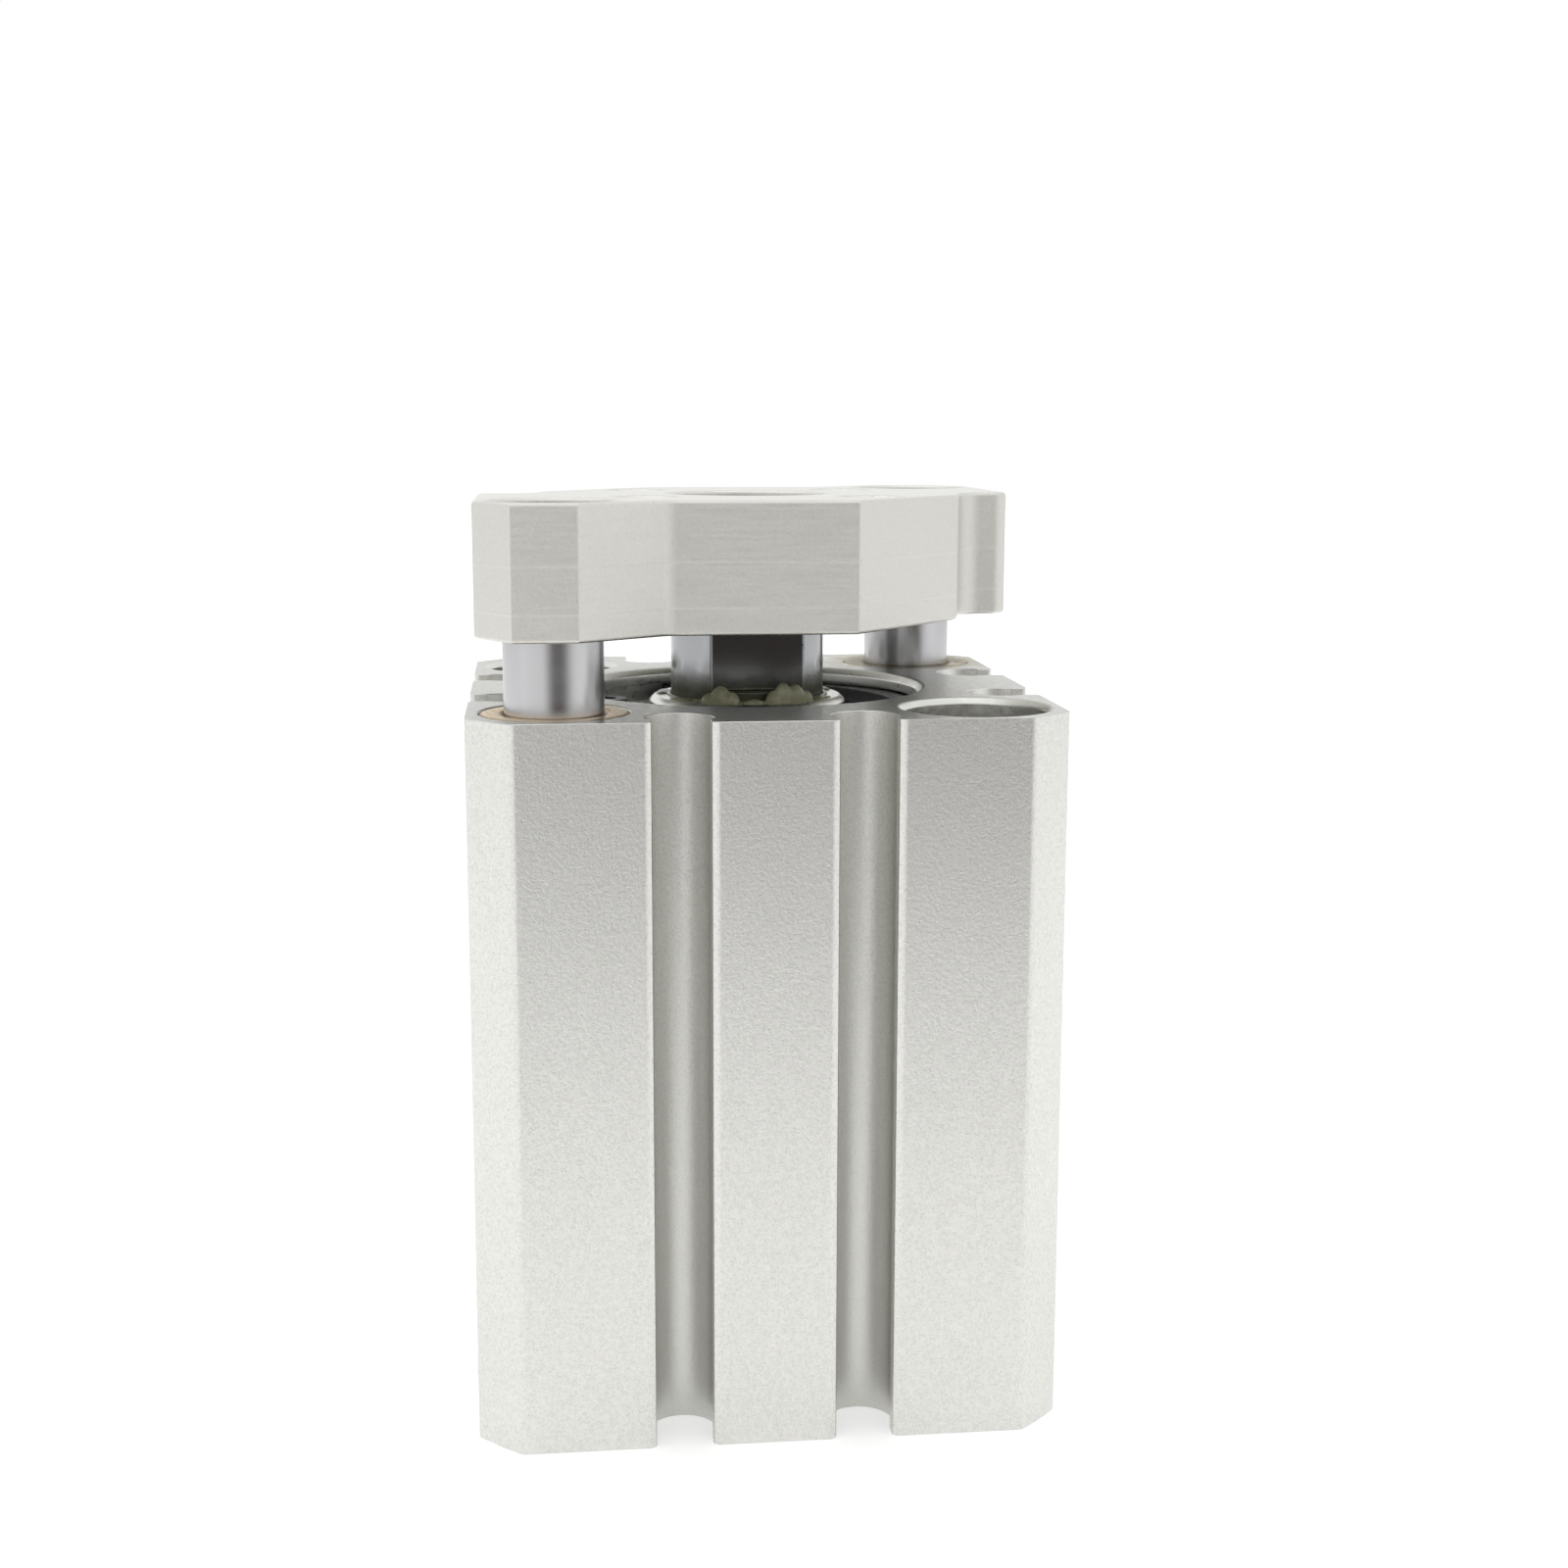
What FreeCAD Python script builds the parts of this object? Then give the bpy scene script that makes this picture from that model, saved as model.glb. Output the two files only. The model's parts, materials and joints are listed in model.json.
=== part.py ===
import FreeCAD, Part
import math
import os

# Guided pneumatic cylinder: 20 mm bore, 15 mm stroke, drawn with its rod drawn in.
#
# An extruded, anodised tube carries the bore, two guide bores on one diagonal and two
# counterbored mounting holes on the other.  A rod cover held by a retaining ring closes
# the bore.  The piston rod and two guide rods end in one shaped plate.
#
# Millimetres.  The origin is the centre of the tube's bottom face, +Z runs along the
# piston rod, and -Y is the front, opposite the face with the two air ports.
# The tube is the fixed body.  The plate, rods, screws, piston, piston seal and magnet
# slide together along +Z by STROKE.

Vector = FreeCAD.Vector
UP = Vector(0, 0, 1)

# ---- driving dimensions ------------------------------------------------------------

BORE = 20.0
STROKE = 15.0
ROD = 10.0
GUIDE_ROD = 6.0
HOLE_PITCH = 25.5        # square on which guide rods and mounting holes stand
RUNNING = 0.03           # radial clearance where metal slides on metal
LOCATING = 0.02          # radial clearance of parts that only locate each other

# tube
BODY = 36.0
BODY_HEIGHT = 44.5
CORNER_ROUND = 47.3      # diameter of the circle that cuts the four corners
HEAD_WALL = 5.5          # thickness of the closed end of the bore

# sensor grooves, two on each side of the tube
GROOVE_OFFSET = 5.5
GROOVE_NECK = 3.45
GROOVE_RADIUS = 2.05
GROOVE_CENTRE = 2.2      # depth of the round pocket's centre
GROOVE_LIP = 0.25        # bevel on the two edges of the neck

# mounting holes
SCREW_HOLE = 5.4
COUNTERBORE = 8.7
COUNTERBORE_DEPTH = 7.0
RIM_BEVEL = 0.35

# guides
BUSH_OD = 9.0
BUSH_LEAD = 0.3
GUIDE_CLEAR = 7.0        # plain bore below the bushes
UPPER_BUSH = (32.5, BODY_HEIGHT)
LOWER_BUSH = (18.5, 28.5)
GUIDE_ROD_BOTTOM = 2.0
GUIDE_POCKET = 1.5       # how far a guide rod enters the end plate
THREAD_M4 = 3.3          # tapping drill
THREAD_M5 = 4.2
THREAD_M6 = 5.0

# piston, its seal and its magnet
PISTON_BOTTOM = 7.05
PISTON_TOP = 17.4
PISTON_OD = 19.9
SEAL_BAND = (14.2, 16.4)
MAGNET_BAND = (9.6, 12.6)
BAND_FLOOR = 15.4
SPIGOT = 6.0
STAKE = (8.2, 8.5)       # diameter of the staked rod end, height at which it starts to flare
BUMPER = 1.5

# rod cover and its retaining ring
COVER_BOTTOM = PISTON_TOP + STROKE + BUMPER + 0.1
COVER_SPIGOT = BORE - 0.1
O_RING_FLOOR = 17.1      # diameter of the groove's floor, under the flange
O_RING_WIDTH = 1.9
SEAL_GROOVE = (13.6, 40.0, 42.0)
COVER_SEAT = 39.5
COVER_TOP = 42.35
COVER_FLANGE = 22.3
MOUTH = 22.4
MOUTH_BEVEL = 0.4
BOSS = 12.9
BOSS_TOP = 43.9
RING_GROOVE = 23.5
RING_OD = 23.4
RING_THICK = 1.0
RING_PLAY = 0.1
RING_GAP = 40.0          # opening of the ring, degrees
RING_GAP_AT = 135.0      # where it opens, degrees from +X
RING_NARROW = 1.25       # radial width beside the gap
RING_WIDE = 2.0          # radial width opposite the gap
LUG_RADIUS = 1.35
LUG_HOLE = 1.3

# end plate
GAP = 4.5                # between the tube and the plate, rod drawn in
PLATE = 8.0
PLATE_EDGE = 17.35       # outermost faces of the plate
PLATE_WAIST = 13.3       # front and back faces beside the rod
TOOL_HOLE_PITCH = 14.0
ROD_COUNTERBORE = (10.6, 4.4)
GUIDE_COUNTERBORE = (8.0, 4.4)
ROD_SCREW_REACH = 9.0
GUIDE_SCREW_REACH = 7.5
FLATS = 8.0              # across the wrench flats of the piston rod
FLAT_TURN = 4.5          # the flats stand this many degrees off square
FLAT_BOTTOM = 44.6

# air ports on the back face
PORT_DEPTH = 5.5
PORT_MOUTH = 5.3
AIR_WAY = 2.0
HEAD_PORT_Z = 7.5
ROD_PORT_Z = 33.0

HALF = BODY / 2
Q = HOLE_PITCH / 2
PLATE_BOTTOM = BODY_HEIGHT + GAP
PLATE_TOP = PLATE_BOTTOM + PLATE
GUIDES = {"front": (-Q, -Q), "rear": (Q, Q)}
MOUNTING = [(Q, -Q), (-Q, Q)]


# ---- helpers -----------------------------------------------------------------------

def bar(diameter, low, high, x=0.0, y=0.0):
    """Round bar standing on z = low."""
    return Part.makeCylinder(diameter / 2, high - low, Vector(x, y, low))


def cone(low_diameter, high_diameter, low, high, x=0.0, y=0.0):
    """Round taper standing on z = low."""
    return Part.makeCone(low_diameter / 2, high_diameter / 2, high - low, Vector(x, y, low))


def turned(profile, x=0.0, y=0.0):
    """Solid turned about a vertical axis from a closed profile of (radius, z) points."""
    points = [Vector(radius, 0, z) for radius, z in profile]
    face = Part.Face(Part.makePolygon(points + points[:1]))
    solid = face.revolve(Vector(0, 0, 0), UP, 360)
    solid.translate(Vector(x, y, 0))
    return solid


def corner_arc(before, here, after, radius):
    """Start, middle and end of the arc that rounds the corner at here."""
    back = (before - here).normalize()
    ahead = (after - here).normalize()
    half_angle = back.getAngle(ahead) / 2
    reach = radius / math.tan(half_angle)
    inset = radius / math.sin(half_angle) - radius
    middle = here + (back + ahead).normalize() * inset
    return here + back * reach, middle, here + ahead * reach


def path_wire(moves):
    """Closed wire from moves: a point is a straight line to it, a pair is (middle, end) of an arc."""
    edges = []
    last = moves[-1][1] if isinstance(moves[-1], tuple) else moves[-1]
    for move in moves:
        if isinstance(move, tuple):
            middle, end = move
            edges.append(Part.Arc(last, middle, end).toShape())
        else:
            end = move
            edges.append(Part.makeLine(last, end))
        last = end
    return Part.Wire(edges)


def rounded_outline(corners, z):
    """Closed wire at height z through (x, y, radius) corners; radius 0 keeps a corner sharp."""
    places = [Vector(x, y, z) for x, y, _ in corners]
    moves = []
    for i, (_, _, radius) in enumerate(corners):
        if radius == 0:
            moves.append(places[i])
            continue
        after = places[(i + 1) % len(corners)]
        start, middle, end = corner_arc(places[i - 1], places[i], after, radius)
        moves.append(start)
        moves.append((middle, end))
    return path_wire(moves)


def hexagon(across, low, high, x, y):
    """Hexagonal prism for a screw's socket."""
    radius = across / math.sqrt(3)
    points = []
    for i in range(6):
        angle = math.radians(60 * i)
        points.append(Vector(x + radius * math.cos(angle), y + radius * math.sin(angle), low))
    face = Part.Face(Part.makePolygon(points + points[:1]))
    return face.extrude(Vector(0, 0, high - low))


# ---- tube --------------------------------------------------------------------------

def groove_moves(offset):
    """One sensor groove in the -Y side: bevelled lips, parallel neck, round pocket."""
    neck = GROOVE_NECK / 2
    face = -HALF
    pocket_start = GROOVE_CENTRE - math.sqrt(GROOVE_RADIUS ** 2 - neck ** 2)
    floor = Vector(offset, face + GROOVE_CENTRE + GROOVE_RADIUS, 0)
    return [
        Vector(offset - neck - GROOVE_LIP, face, 0),
        Vector(offset - neck, face + GROOVE_LIP, 0),
        Vector(offset - neck, face + pocket_start, 0),
        (floor, Vector(offset + neck, face + pocket_start, 0)),
        Vector(offset + neck, face + GROOVE_LIP, 0),
        Vector(offset + neck + GROOVE_LIP, face, 0),
    ]


def turn_move(move, angle):
    """The same move, turned about Z."""
    turn = FreeCAD.Rotation(UP, angle)
    if isinstance(move, tuple):
        return turn.multVec(move[0]), turn.multVec(move[1])
    return turn.multVec(move)


def tube_section():
    """Outer section of the extrusion: four like sides, each with two grooves and a round corner."""
    side = groove_moves(-GROOVE_OFFSET) + groove_moves(GROOVE_OFFSET)
    radius = CORNER_ROUND / 2
    reach = math.sqrt(radius ** 2 - HALF ** 2)
    diagonal = radius / math.sqrt(2)
    side.append(Vector(reach, -HALF, 0))
    side.append((Vector(diagonal, -diagonal, 0), Vector(HALF, -reach, 0)))
    moves = []
    for quarter in range(4):
        moves += [turn_move(move, 90 * quarter) for move in side]
    return path_wire(moves)


def port_tools(z):
    """Tapped air port on the back face, with its way into the bore."""
    back = Vector(0, 1, 0)
    bottom = HALF - PORT_DEPTH
    bevel = (PORT_MOUTH - THREAD_M5) / 2
    tap = Part.makeCylinder(THREAD_M5 / 2, PORT_DEPTH, Vector(0, bottom, z), back)
    mouth = Part.makeCone(THREAD_M5 / 2, PORT_MOUTH / 2, bevel, Vector(0, HALF - bevel, z), back)
    start = BORE / 2 - 1
    way = Part.makeCylinder(AIR_WAY / 2, bottom - start + 0.5, Vector(0, start, z), back)
    return [tap, mouth, way]


def cylinder_tube():
    solid = Part.Face(tube_section()).extrude(Vector(0, 0, BODY_HEIGHT))
    top = BODY_HEIGHT
    tools = [
        bar(BORE, HEAD_WALL, top),
        bar(MOUTH, COVER_SEAT, top),
        cone(MOUTH, MOUTH + 2 * MOUTH_BEVEL, top - MOUTH_BEVEL, top),
        bar(RING_GROOVE, COVER_TOP, COVER_TOP + RING_THICK + RING_PLAY),
    ]
    for x, y in MOUNTING:
        tools.append(bar(SCREW_HOLE, 0, top, x, y))
        tools.append(bar(COUNTERBORE, top - COUNTERBORE_DEPTH, top, x, y))
        rim = COUNTERBORE + 2 * RIM_BEVEL
        tools.append(cone(COUNTERBORE, rim, top - RIM_BEVEL, top, x, y))
    for x, y in GUIDES.values():
        tools.append(bar(GUIDE_CLEAR, 0, top, x, y))
        tools.append(bar(BUSH_OD, LOWER_BUSH[0], top, x, y))
    tools += port_tools(HEAD_PORT_Z) + port_tools(ROD_PORT_Z)
    return solid.cut(tools)


def guide_bush(low, high, x, y):
    """Sintered bronze bush, pressed into its bore."""
    inner = GUIDE_ROD / 2 + LOCATING
    outer = BUSH_OD / 2
    return turned([
        (inner, low), (outer, low), (outer, high), (inner + BUSH_LEAD, high),
        (inner, high - BUSH_LEAD),
    ], x, y)


# ---- rod cover ---------------------------------------------------------------------

def rod_cover():
    """Turned cover: spigot with O-ring groove, flange on the tube's step, boss round the rod."""
    inner = ROD / 2 + RUNNING
    spigot = COVER_SPIGOT / 2
    flange = COVER_FLANGE / 2
    boss = BOSS / 2
    floor = O_RING_FLOOR / 2
    groove = COVER_SEAT - O_RING_WIDTH
    seal_radius = SEAL_GROOVE[0] / 2
    bevel = 0.35
    return turned([
        (inner, COVER_BOTTOM), (spigot, COVER_BOTTOM), (spigot, groove), (floor, groove),
        (floor, COVER_SEAT), (flange, COVER_SEAT), (flange, COVER_TOP), (boss, COVER_TOP),
        (boss, BOSS_TOP - bevel), (boss - bevel, BOSS_TOP), (inner, BOSS_TOP),
        (inner, SEAL_GROOVE[2]), (seal_radius, SEAL_GROOVE[2]), (seal_radius, SEAL_GROOVE[1]),
        (inner, SEAL_GROOVE[1]),
    ])


def rod_cover_o_ring():
    """Static seal, pressed flat against the bore and against the floor of its groove."""
    outer = BORE / 2 - LOCATING
    inner = O_RING_FLOOR / 2 + LOCATING
    low = COVER_SEAT - O_RING_WIDTH + 0.15
    high = COVER_SEAT - 0.15
    return turned([(inner, low), (outer, low), (outer, high), (inner, high)])


def rod_seal():
    """Lip seal that fills the cover's inner groove, with its lip at the upper end."""
    outer = SEAL_GROOVE[0] / 2 - LOCATING
    low = SEAL_GROOVE[1]
    high = SEAL_GROOVE[2]
    lip = ROD / 2 + LOCATING
    return turned([(outer, low), (outer, high), (lip, high), (lip + 0.4, low)])


def bumper_ring(low, outer_diameter, inner_diameter):
    """Urethane cushion ring."""
    outer = outer_diameter / 2
    inner = inner_diameter / 2
    high = low + BUMPER
    return turned([(inner, low), (outer, low), (outer, high), (inner, high)])


def retaining_ring():
    """Internal retaining ring: tapered width, a gap, and a drilled lug at each end of it."""
    low = COVER_TOP
    outer = RING_OD / 2
    inner = outer - (RING_NARROW + RING_WIDE) / 2
    shift = (RING_WIDE - RING_NARROW) / 2
    opening = math.radians(RING_GAP_AT)
    towards_gap = Vector(math.cos(opening), math.sin(opening), 0)
    hollow = bar(2 * inner, low, low + RING_THICK)
    hollow.translate(towards_gap * shift)
    ring = bar(RING_OD, low, low + RING_THICK).cut(hollow)
    reach = RING_OD
    gap_corners = [Vector(0, 0, low)]
    for side in (-0.5, 0.5):
        angle = opening + math.radians(RING_GAP) * side
        gap_corners.append(Vector(reach * math.cos(angle), reach * math.sin(angle), low))
    gap_face = Part.Face(Part.makePolygon(gap_corners + gap_corners[:1]))
    ring = ring.cut(gap_face.extrude(Vector(0, 0, RING_THICK)))
    lugs = []
    holes = []
    lug_centre = outer - RING_NARROW - LUG_RADIUS + 0.45
    lug_turn = math.degrees(LUG_RADIUS / lug_centre)
    for side in (-1, 1):
        angle = opening + math.radians(side * (RING_GAP / 2 + lug_turn))
        x = lug_centre * math.cos(angle)
        y = lug_centre * math.sin(angle)
        lugs.append(bar(2 * LUG_RADIUS, low, low + RING_THICK, x, y))
        holes.append(bar(LUG_HOLE, low, low + RING_THICK, x, y))
    return ring.fuse(lugs).cut(holes).removeSplitter()


# ---- piston ------------------------------------------------------------------------

def piston():
    outer = PISTON_OD / 2
    inner = SPIGOT / 2 + LOCATING
    floor = BAND_FLOOR / 2
    return turned([
        (inner, STAKE[1] + 0.6), (STAKE[0] / 2 + LOCATING, STAKE[1]),
        (STAKE[0] / 2 + LOCATING, PISTON_BOTTOM), (outer, PISTON_BOTTOM),
        (outer, MAGNET_BAND[0]), (floor, MAGNET_BAND[0]),
        (floor, MAGNET_BAND[1]), (outer, MAGNET_BAND[1]), (outer, SEAL_BAND[0]),
        (floor, SEAL_BAND[0]), (floor, SEAL_BAND[1]), (outer, SEAL_BAND[1]),
        (outer, PISTON_TOP), (inner, PISTON_TOP),
    ])


def piston_seal():
    """Seal in the piston's upper groove."""
    outer = BORE / 2 - LOCATING
    inner = BAND_FLOOR / 2 + LOCATING
    low, high = SEAL_BAND
    return turned([(inner, low), (outer, low), (outer, high), (inner, high)])


def magnet():
    outer = PISTON_OD / 2 - 0.2
    inner = BAND_FLOOR / 2 + LOCATING
    low, high = MAGNET_BAND
    return turned([(inner, low), (outer, low), (outer, high), (inner, high)])


def piston_rod():
    """Rod with a staked spigot below, two wrench flats and a tapped hole under the plate."""
    radius = ROD / 2
    spigot = SPIGOT / 2
    stake = STAKE[0] / 2
    foot = PISTON_BOTTOM + 0.3
    rod = turned([
        (0, foot), (stake, foot), (stake, STAKE[1]), (spigot, STAKE[1] + 0.6),
        (spigot, PISTON_TOP), (radius, PISTON_TOP), (radius, PLATE_BOTTOM), (0, PLATE_BOTTOM),
    ])
    tools = [bar(THREAD_M6 + 2 * LOCATING, PLATE_BOTTOM - ROD_SCREW_REACH - 1, PLATE_BOTTOM)]
    for side in (-1, 1):
        flat = Part.makeBox(ROD, ROD, GAP, Vector(-ROD / 2, 0, 0))
        flat.translate(Vector(0, FLATS / 2 if side > 0 else -FLATS / 2 - ROD, FLAT_BOTTOM))
        flat.rotate(Vector(0, 0, 0), UP, FLAT_TURN)
        tools.append(flat)
    return rod.cut(tools)


# ---- end plate, guide rods and screws ----------------------------------------------

def end_plate():
    """Plate that is the same after half a turn: cut away over the two mounting holes."""
    edge = PLATE_EDGE
    waist = PLATE_WAIST
    half_outline = [
        (-edge, -13.8, 0), (-15.2, -edge, 0), (-11.3, -edge, 0), (-5.8, -waist, 2.0),
        (5.5, -waist, 0), (13.2, -4.0, 1.0), (14.0, 0.0, 1.9), (edge, 0.2, 1.0),
    ]
    corners = half_outline + [(-x, -y, radius) for x, y, radius in half_outline]
    blank = Part.Face(rounded_outline(corners, PLATE_BOTTOM)).extrude(Vector(0, 0, PLATE))
    wide, deep = ROD_COUNTERBORE
    tools = [
        bar(THREAD_M6 + 1.4, PLATE_BOTTOM, PLATE_TOP),
        bar(wide, PLATE_TOP - deep, PLATE_TOP),
    ]
    wide, deep = GUIDE_COUNTERBORE
    for x, y in GUIDES.values():
        pocket = GUIDE_ROD + 2 * LOCATING
        tools.append(bar(pocket, PLATE_BOTTOM, PLATE_BOTTOM + GUIDE_POCKET, x, y))
        tools.append(bar(THREAD_M4 + 1.2, PLATE_BOTTOM, PLATE_TOP, x, y))
        tools.append(bar(wide, PLATE_TOP - deep, PLATE_TOP, x, y))
    for x in (-0.5, 0.5):
        for y in (-0.5, 0.5):
            place = (TOOL_HOLE_PITCH * x, TOOL_HOLE_PITCH * y)
            tools.append(bar(THREAD_M4, PLATE_BOTTOM, PLATE_TOP, *place))
    return blank.cut(tools)


def guide_rod(x, y):
    radius = GUIDE_ROD / 2
    bevel = 0.4
    low = GUIDE_ROD_BOTTOM
    high = PLATE_BOTTOM + GUIDE_POCKET
    rod = turned([
        (0, low), (radius - bevel, low), (radius, low + bevel), (radius, high), (0, high),
    ], x, y)
    return rod.cut(bar(THREAD_M4 + 2 * LOCATING, high - GUIDE_SCREW_REACH, high, x, y))


def cap_screw(thread, head, height, socket, seat, reach, x, y):
    """Socket head screw with its head on z = seat and its tip reach below that."""
    head_radius = head / 2
    core = thread / 2
    bevel = 0.35
    body = turned([
        (0, seat - reach), (core, seat - reach), (core, seat), (head_radius, seat),
        (head_radius, seat + height - bevel), (head_radius - bevel, seat + height),
        (0, seat + height),
    ], x, y)
    return body.cut(hexagon(socket, seat + height * 0.4, seat + height, x, y))


# ---- all pieces --------------------------------------------------------------------

def pieces():
    """Every piece of the cylinder by name."""
    made = {
        "cylinder_tube": cylinder_tube(),
        "rod_cover": rod_cover(),
        "rod_cover_o_ring": rod_cover_o_ring(),
        "rod_seal": rod_seal(),
        "retaining_ring": retaining_ring(),
        "rod_side_bumper": bumper_ring(COVER_BOTTOM - BUMPER, 15.0, 10.8),
        "head_bumper": bumper_ring(HEAD_WALL, 15.0, 9.0),
        "piston_rod": piston_rod(),
        "piston": piston(),
        "piston_seal": piston_seal(),
        "magnet": magnet(),
        "end_plate": end_plate(),
    }
    for name, (x, y) in GUIDES.items():
        made[f"guide_bush_{name}_upper"] = guide_bush(*UPPER_BUSH, x, y)
        made[f"guide_bush_{name}_lower"] = guide_bush(*LOWER_BUSH, x, y)
        made[f"guide_rod_{name}"] = guide_rod(x, y)
        seat = PLATE_TOP - GUIDE_COUNTERBORE[1]
        reach = seat - PLATE_BOTTOM - GUIDE_POCKET + GUIDE_SCREW_REACH - 1
        made[f"guide_rod_screw_{name}"] = cap_screw(THREAD_M4, 7.0, 4.0, 3.0, seat, reach, x, y)
    seat = PLATE_TOP - ROD_COUNTERBORE[1]
    reach = seat - PLATE_BOTTOM + ROD_SCREW_REACH
    made["centre_screw"] = cap_screw(THREAD_M6, 10.0, 4.0, 5.0, seat, reach, 0, 0)
    return made


def main():
    os.makedirs("parts", exist_ok=True)
    for name, shape in pieces().items():
        solid = shape.Solids[0] if len(shape.Solids) == 1 else shape
        if not solid.isValid() or len(shape.Solids) != 1:
            raise ValueError(f"{name} is not one valid solid")
        solid.exportStep(f"parts/{name}.step")


main()
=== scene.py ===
"""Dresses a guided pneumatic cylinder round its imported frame, and sets up a small studio for it."""

import json
import math

import bmesh
import bpy
from bpy.props import FloatProperty, FloatVectorProperty, IntProperty, PointerProperty
from mathutils import Matrix, Vector


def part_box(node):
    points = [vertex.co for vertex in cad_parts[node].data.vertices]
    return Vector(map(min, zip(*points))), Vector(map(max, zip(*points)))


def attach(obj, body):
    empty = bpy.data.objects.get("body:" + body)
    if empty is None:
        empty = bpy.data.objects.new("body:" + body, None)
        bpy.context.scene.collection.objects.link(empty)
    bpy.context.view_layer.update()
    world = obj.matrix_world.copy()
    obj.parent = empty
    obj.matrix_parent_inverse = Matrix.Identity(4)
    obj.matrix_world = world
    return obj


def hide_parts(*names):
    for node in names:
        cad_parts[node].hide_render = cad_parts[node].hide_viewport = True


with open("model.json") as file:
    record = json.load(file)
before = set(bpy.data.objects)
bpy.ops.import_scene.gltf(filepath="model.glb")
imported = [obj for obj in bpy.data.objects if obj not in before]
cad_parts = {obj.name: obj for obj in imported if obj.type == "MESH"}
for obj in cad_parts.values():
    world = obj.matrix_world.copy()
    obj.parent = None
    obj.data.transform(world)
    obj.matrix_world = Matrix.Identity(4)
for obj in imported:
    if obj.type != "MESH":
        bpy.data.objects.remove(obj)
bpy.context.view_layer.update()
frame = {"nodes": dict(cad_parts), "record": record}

bl_info = {
    "name": "Guided Cylinder Dresser",
    "version": (1, 0, 0),
    "blender": (4, 5, 0),
    "location": "View3D > Sidebar > Guided Cylinder",
    "description":
        "Finishes the tube, plate, rods, screws, threads and seals of a guided air cylinder",
    "category": "Object",
}


# ---- sizes that come from the frame, in millimetres unless they are corners in metres ----------

MM = 0.001
NODES = frame["nodes"]
MOUNTS = {mount["name"]: mount for mount in frame["record"]["mounts"]}


def box_middle(box):
    """The middle of a box whose corners are in metres, in millimetres."""
    return sum(box, Vector()) / 2 / MM


def box_radius(box):
    """Half the width along X of a box whose corners are in metres, in millimetres."""
    low, high = box
    return (high - low).x / 2 / MM


TUBE_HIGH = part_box("cylinder_tube")[1]
PLATE_LOW, PLATE_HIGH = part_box("end_plate")
TUBE_SIDE = TUBE_HIGH.x / MM                # from the axis to a face of the tube
TUBE_TOP = TUBE_HIGH.z / MM
PLATE_BOTTOM = PLATE_LOW.z / MM
PLATE_TOP = PLATE_HIGH.z / MM
PLATE_THICK = (PLATE_HIGH - PLATE_LOW).z / MM
COVER_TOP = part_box("rod_cover")[1].z / MM
FRONT_ROD = box_middle(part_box("guide_rod_front"))
REAR_ROD = box_middle(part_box("guide_rod_rear"))
GUIDE_RADIUS = box_radius(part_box("guide_rod_front"))
BUSH_RADIUS = box_radius(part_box("guide_bush_front_upper"))
ROD_RADIUS = box_radius(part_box("piston_rod"))

# the two wrench flats on the piston rod
FLAT_DISTANCE = 4.0                         # from the axis
FLAT_TURN = math.radians(4.5)
FLAT_FOOT = 44.6                            # height at which they start

# which edges and faces belong to the tube's outside: distances in from its four faces, from the
# axis at its chamfered corners, and from the middles of the four corner holes
OUTLINE_BAND, WALL_BAND = 4.4, 4.5
CORNER_OUT = 5.0                            # further out than a face of the tube
HOLE_EDGE_REACH, HOLE_WALL_REACH = 5.2, 4.8

# how the drilled holes are opened for their threads
PORT_RIM = 2.65                             # radius of a port at the tube's face
PORT_COUNTERSINK = 0.42                     # how far a port's mouth stands out past the thread
PORT_REACH = 6.0                            # deeper than the drilling, so all of it is opened
PORT_THREAD_START = 0.45                    # from the tube's face to the thread's first turn
PORT_THREAD_SHORT = 1.0                     # how much shorter than the drilling the thread is
TOOL_THREAD_MARGIN = 0.8                    # from either face of the plate to the thread
TOOL_HOLE_EDGE = 0.3                        # bevel round a tool hole
PLATE_CORNER = 0.12                         # rounding of the plate's upright edges

# the socket screws: the rod's own screw is the larger
SCREW_HEAD = 4.0                            # height of every head
CENTRE_SOCKET, CENTRE_SHANK = 5.0, 5.0
GUIDE_SOCKET, GUIDE_SHANK = 3.0, 3.3
EXTRA_KNURLS = 12                           # more of them round the larger head
HEAD_CLEARANCE = 0.04                       # that a head is narrower than the frame's


# ---- what a user would change ------------------------------------------------------------------

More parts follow.
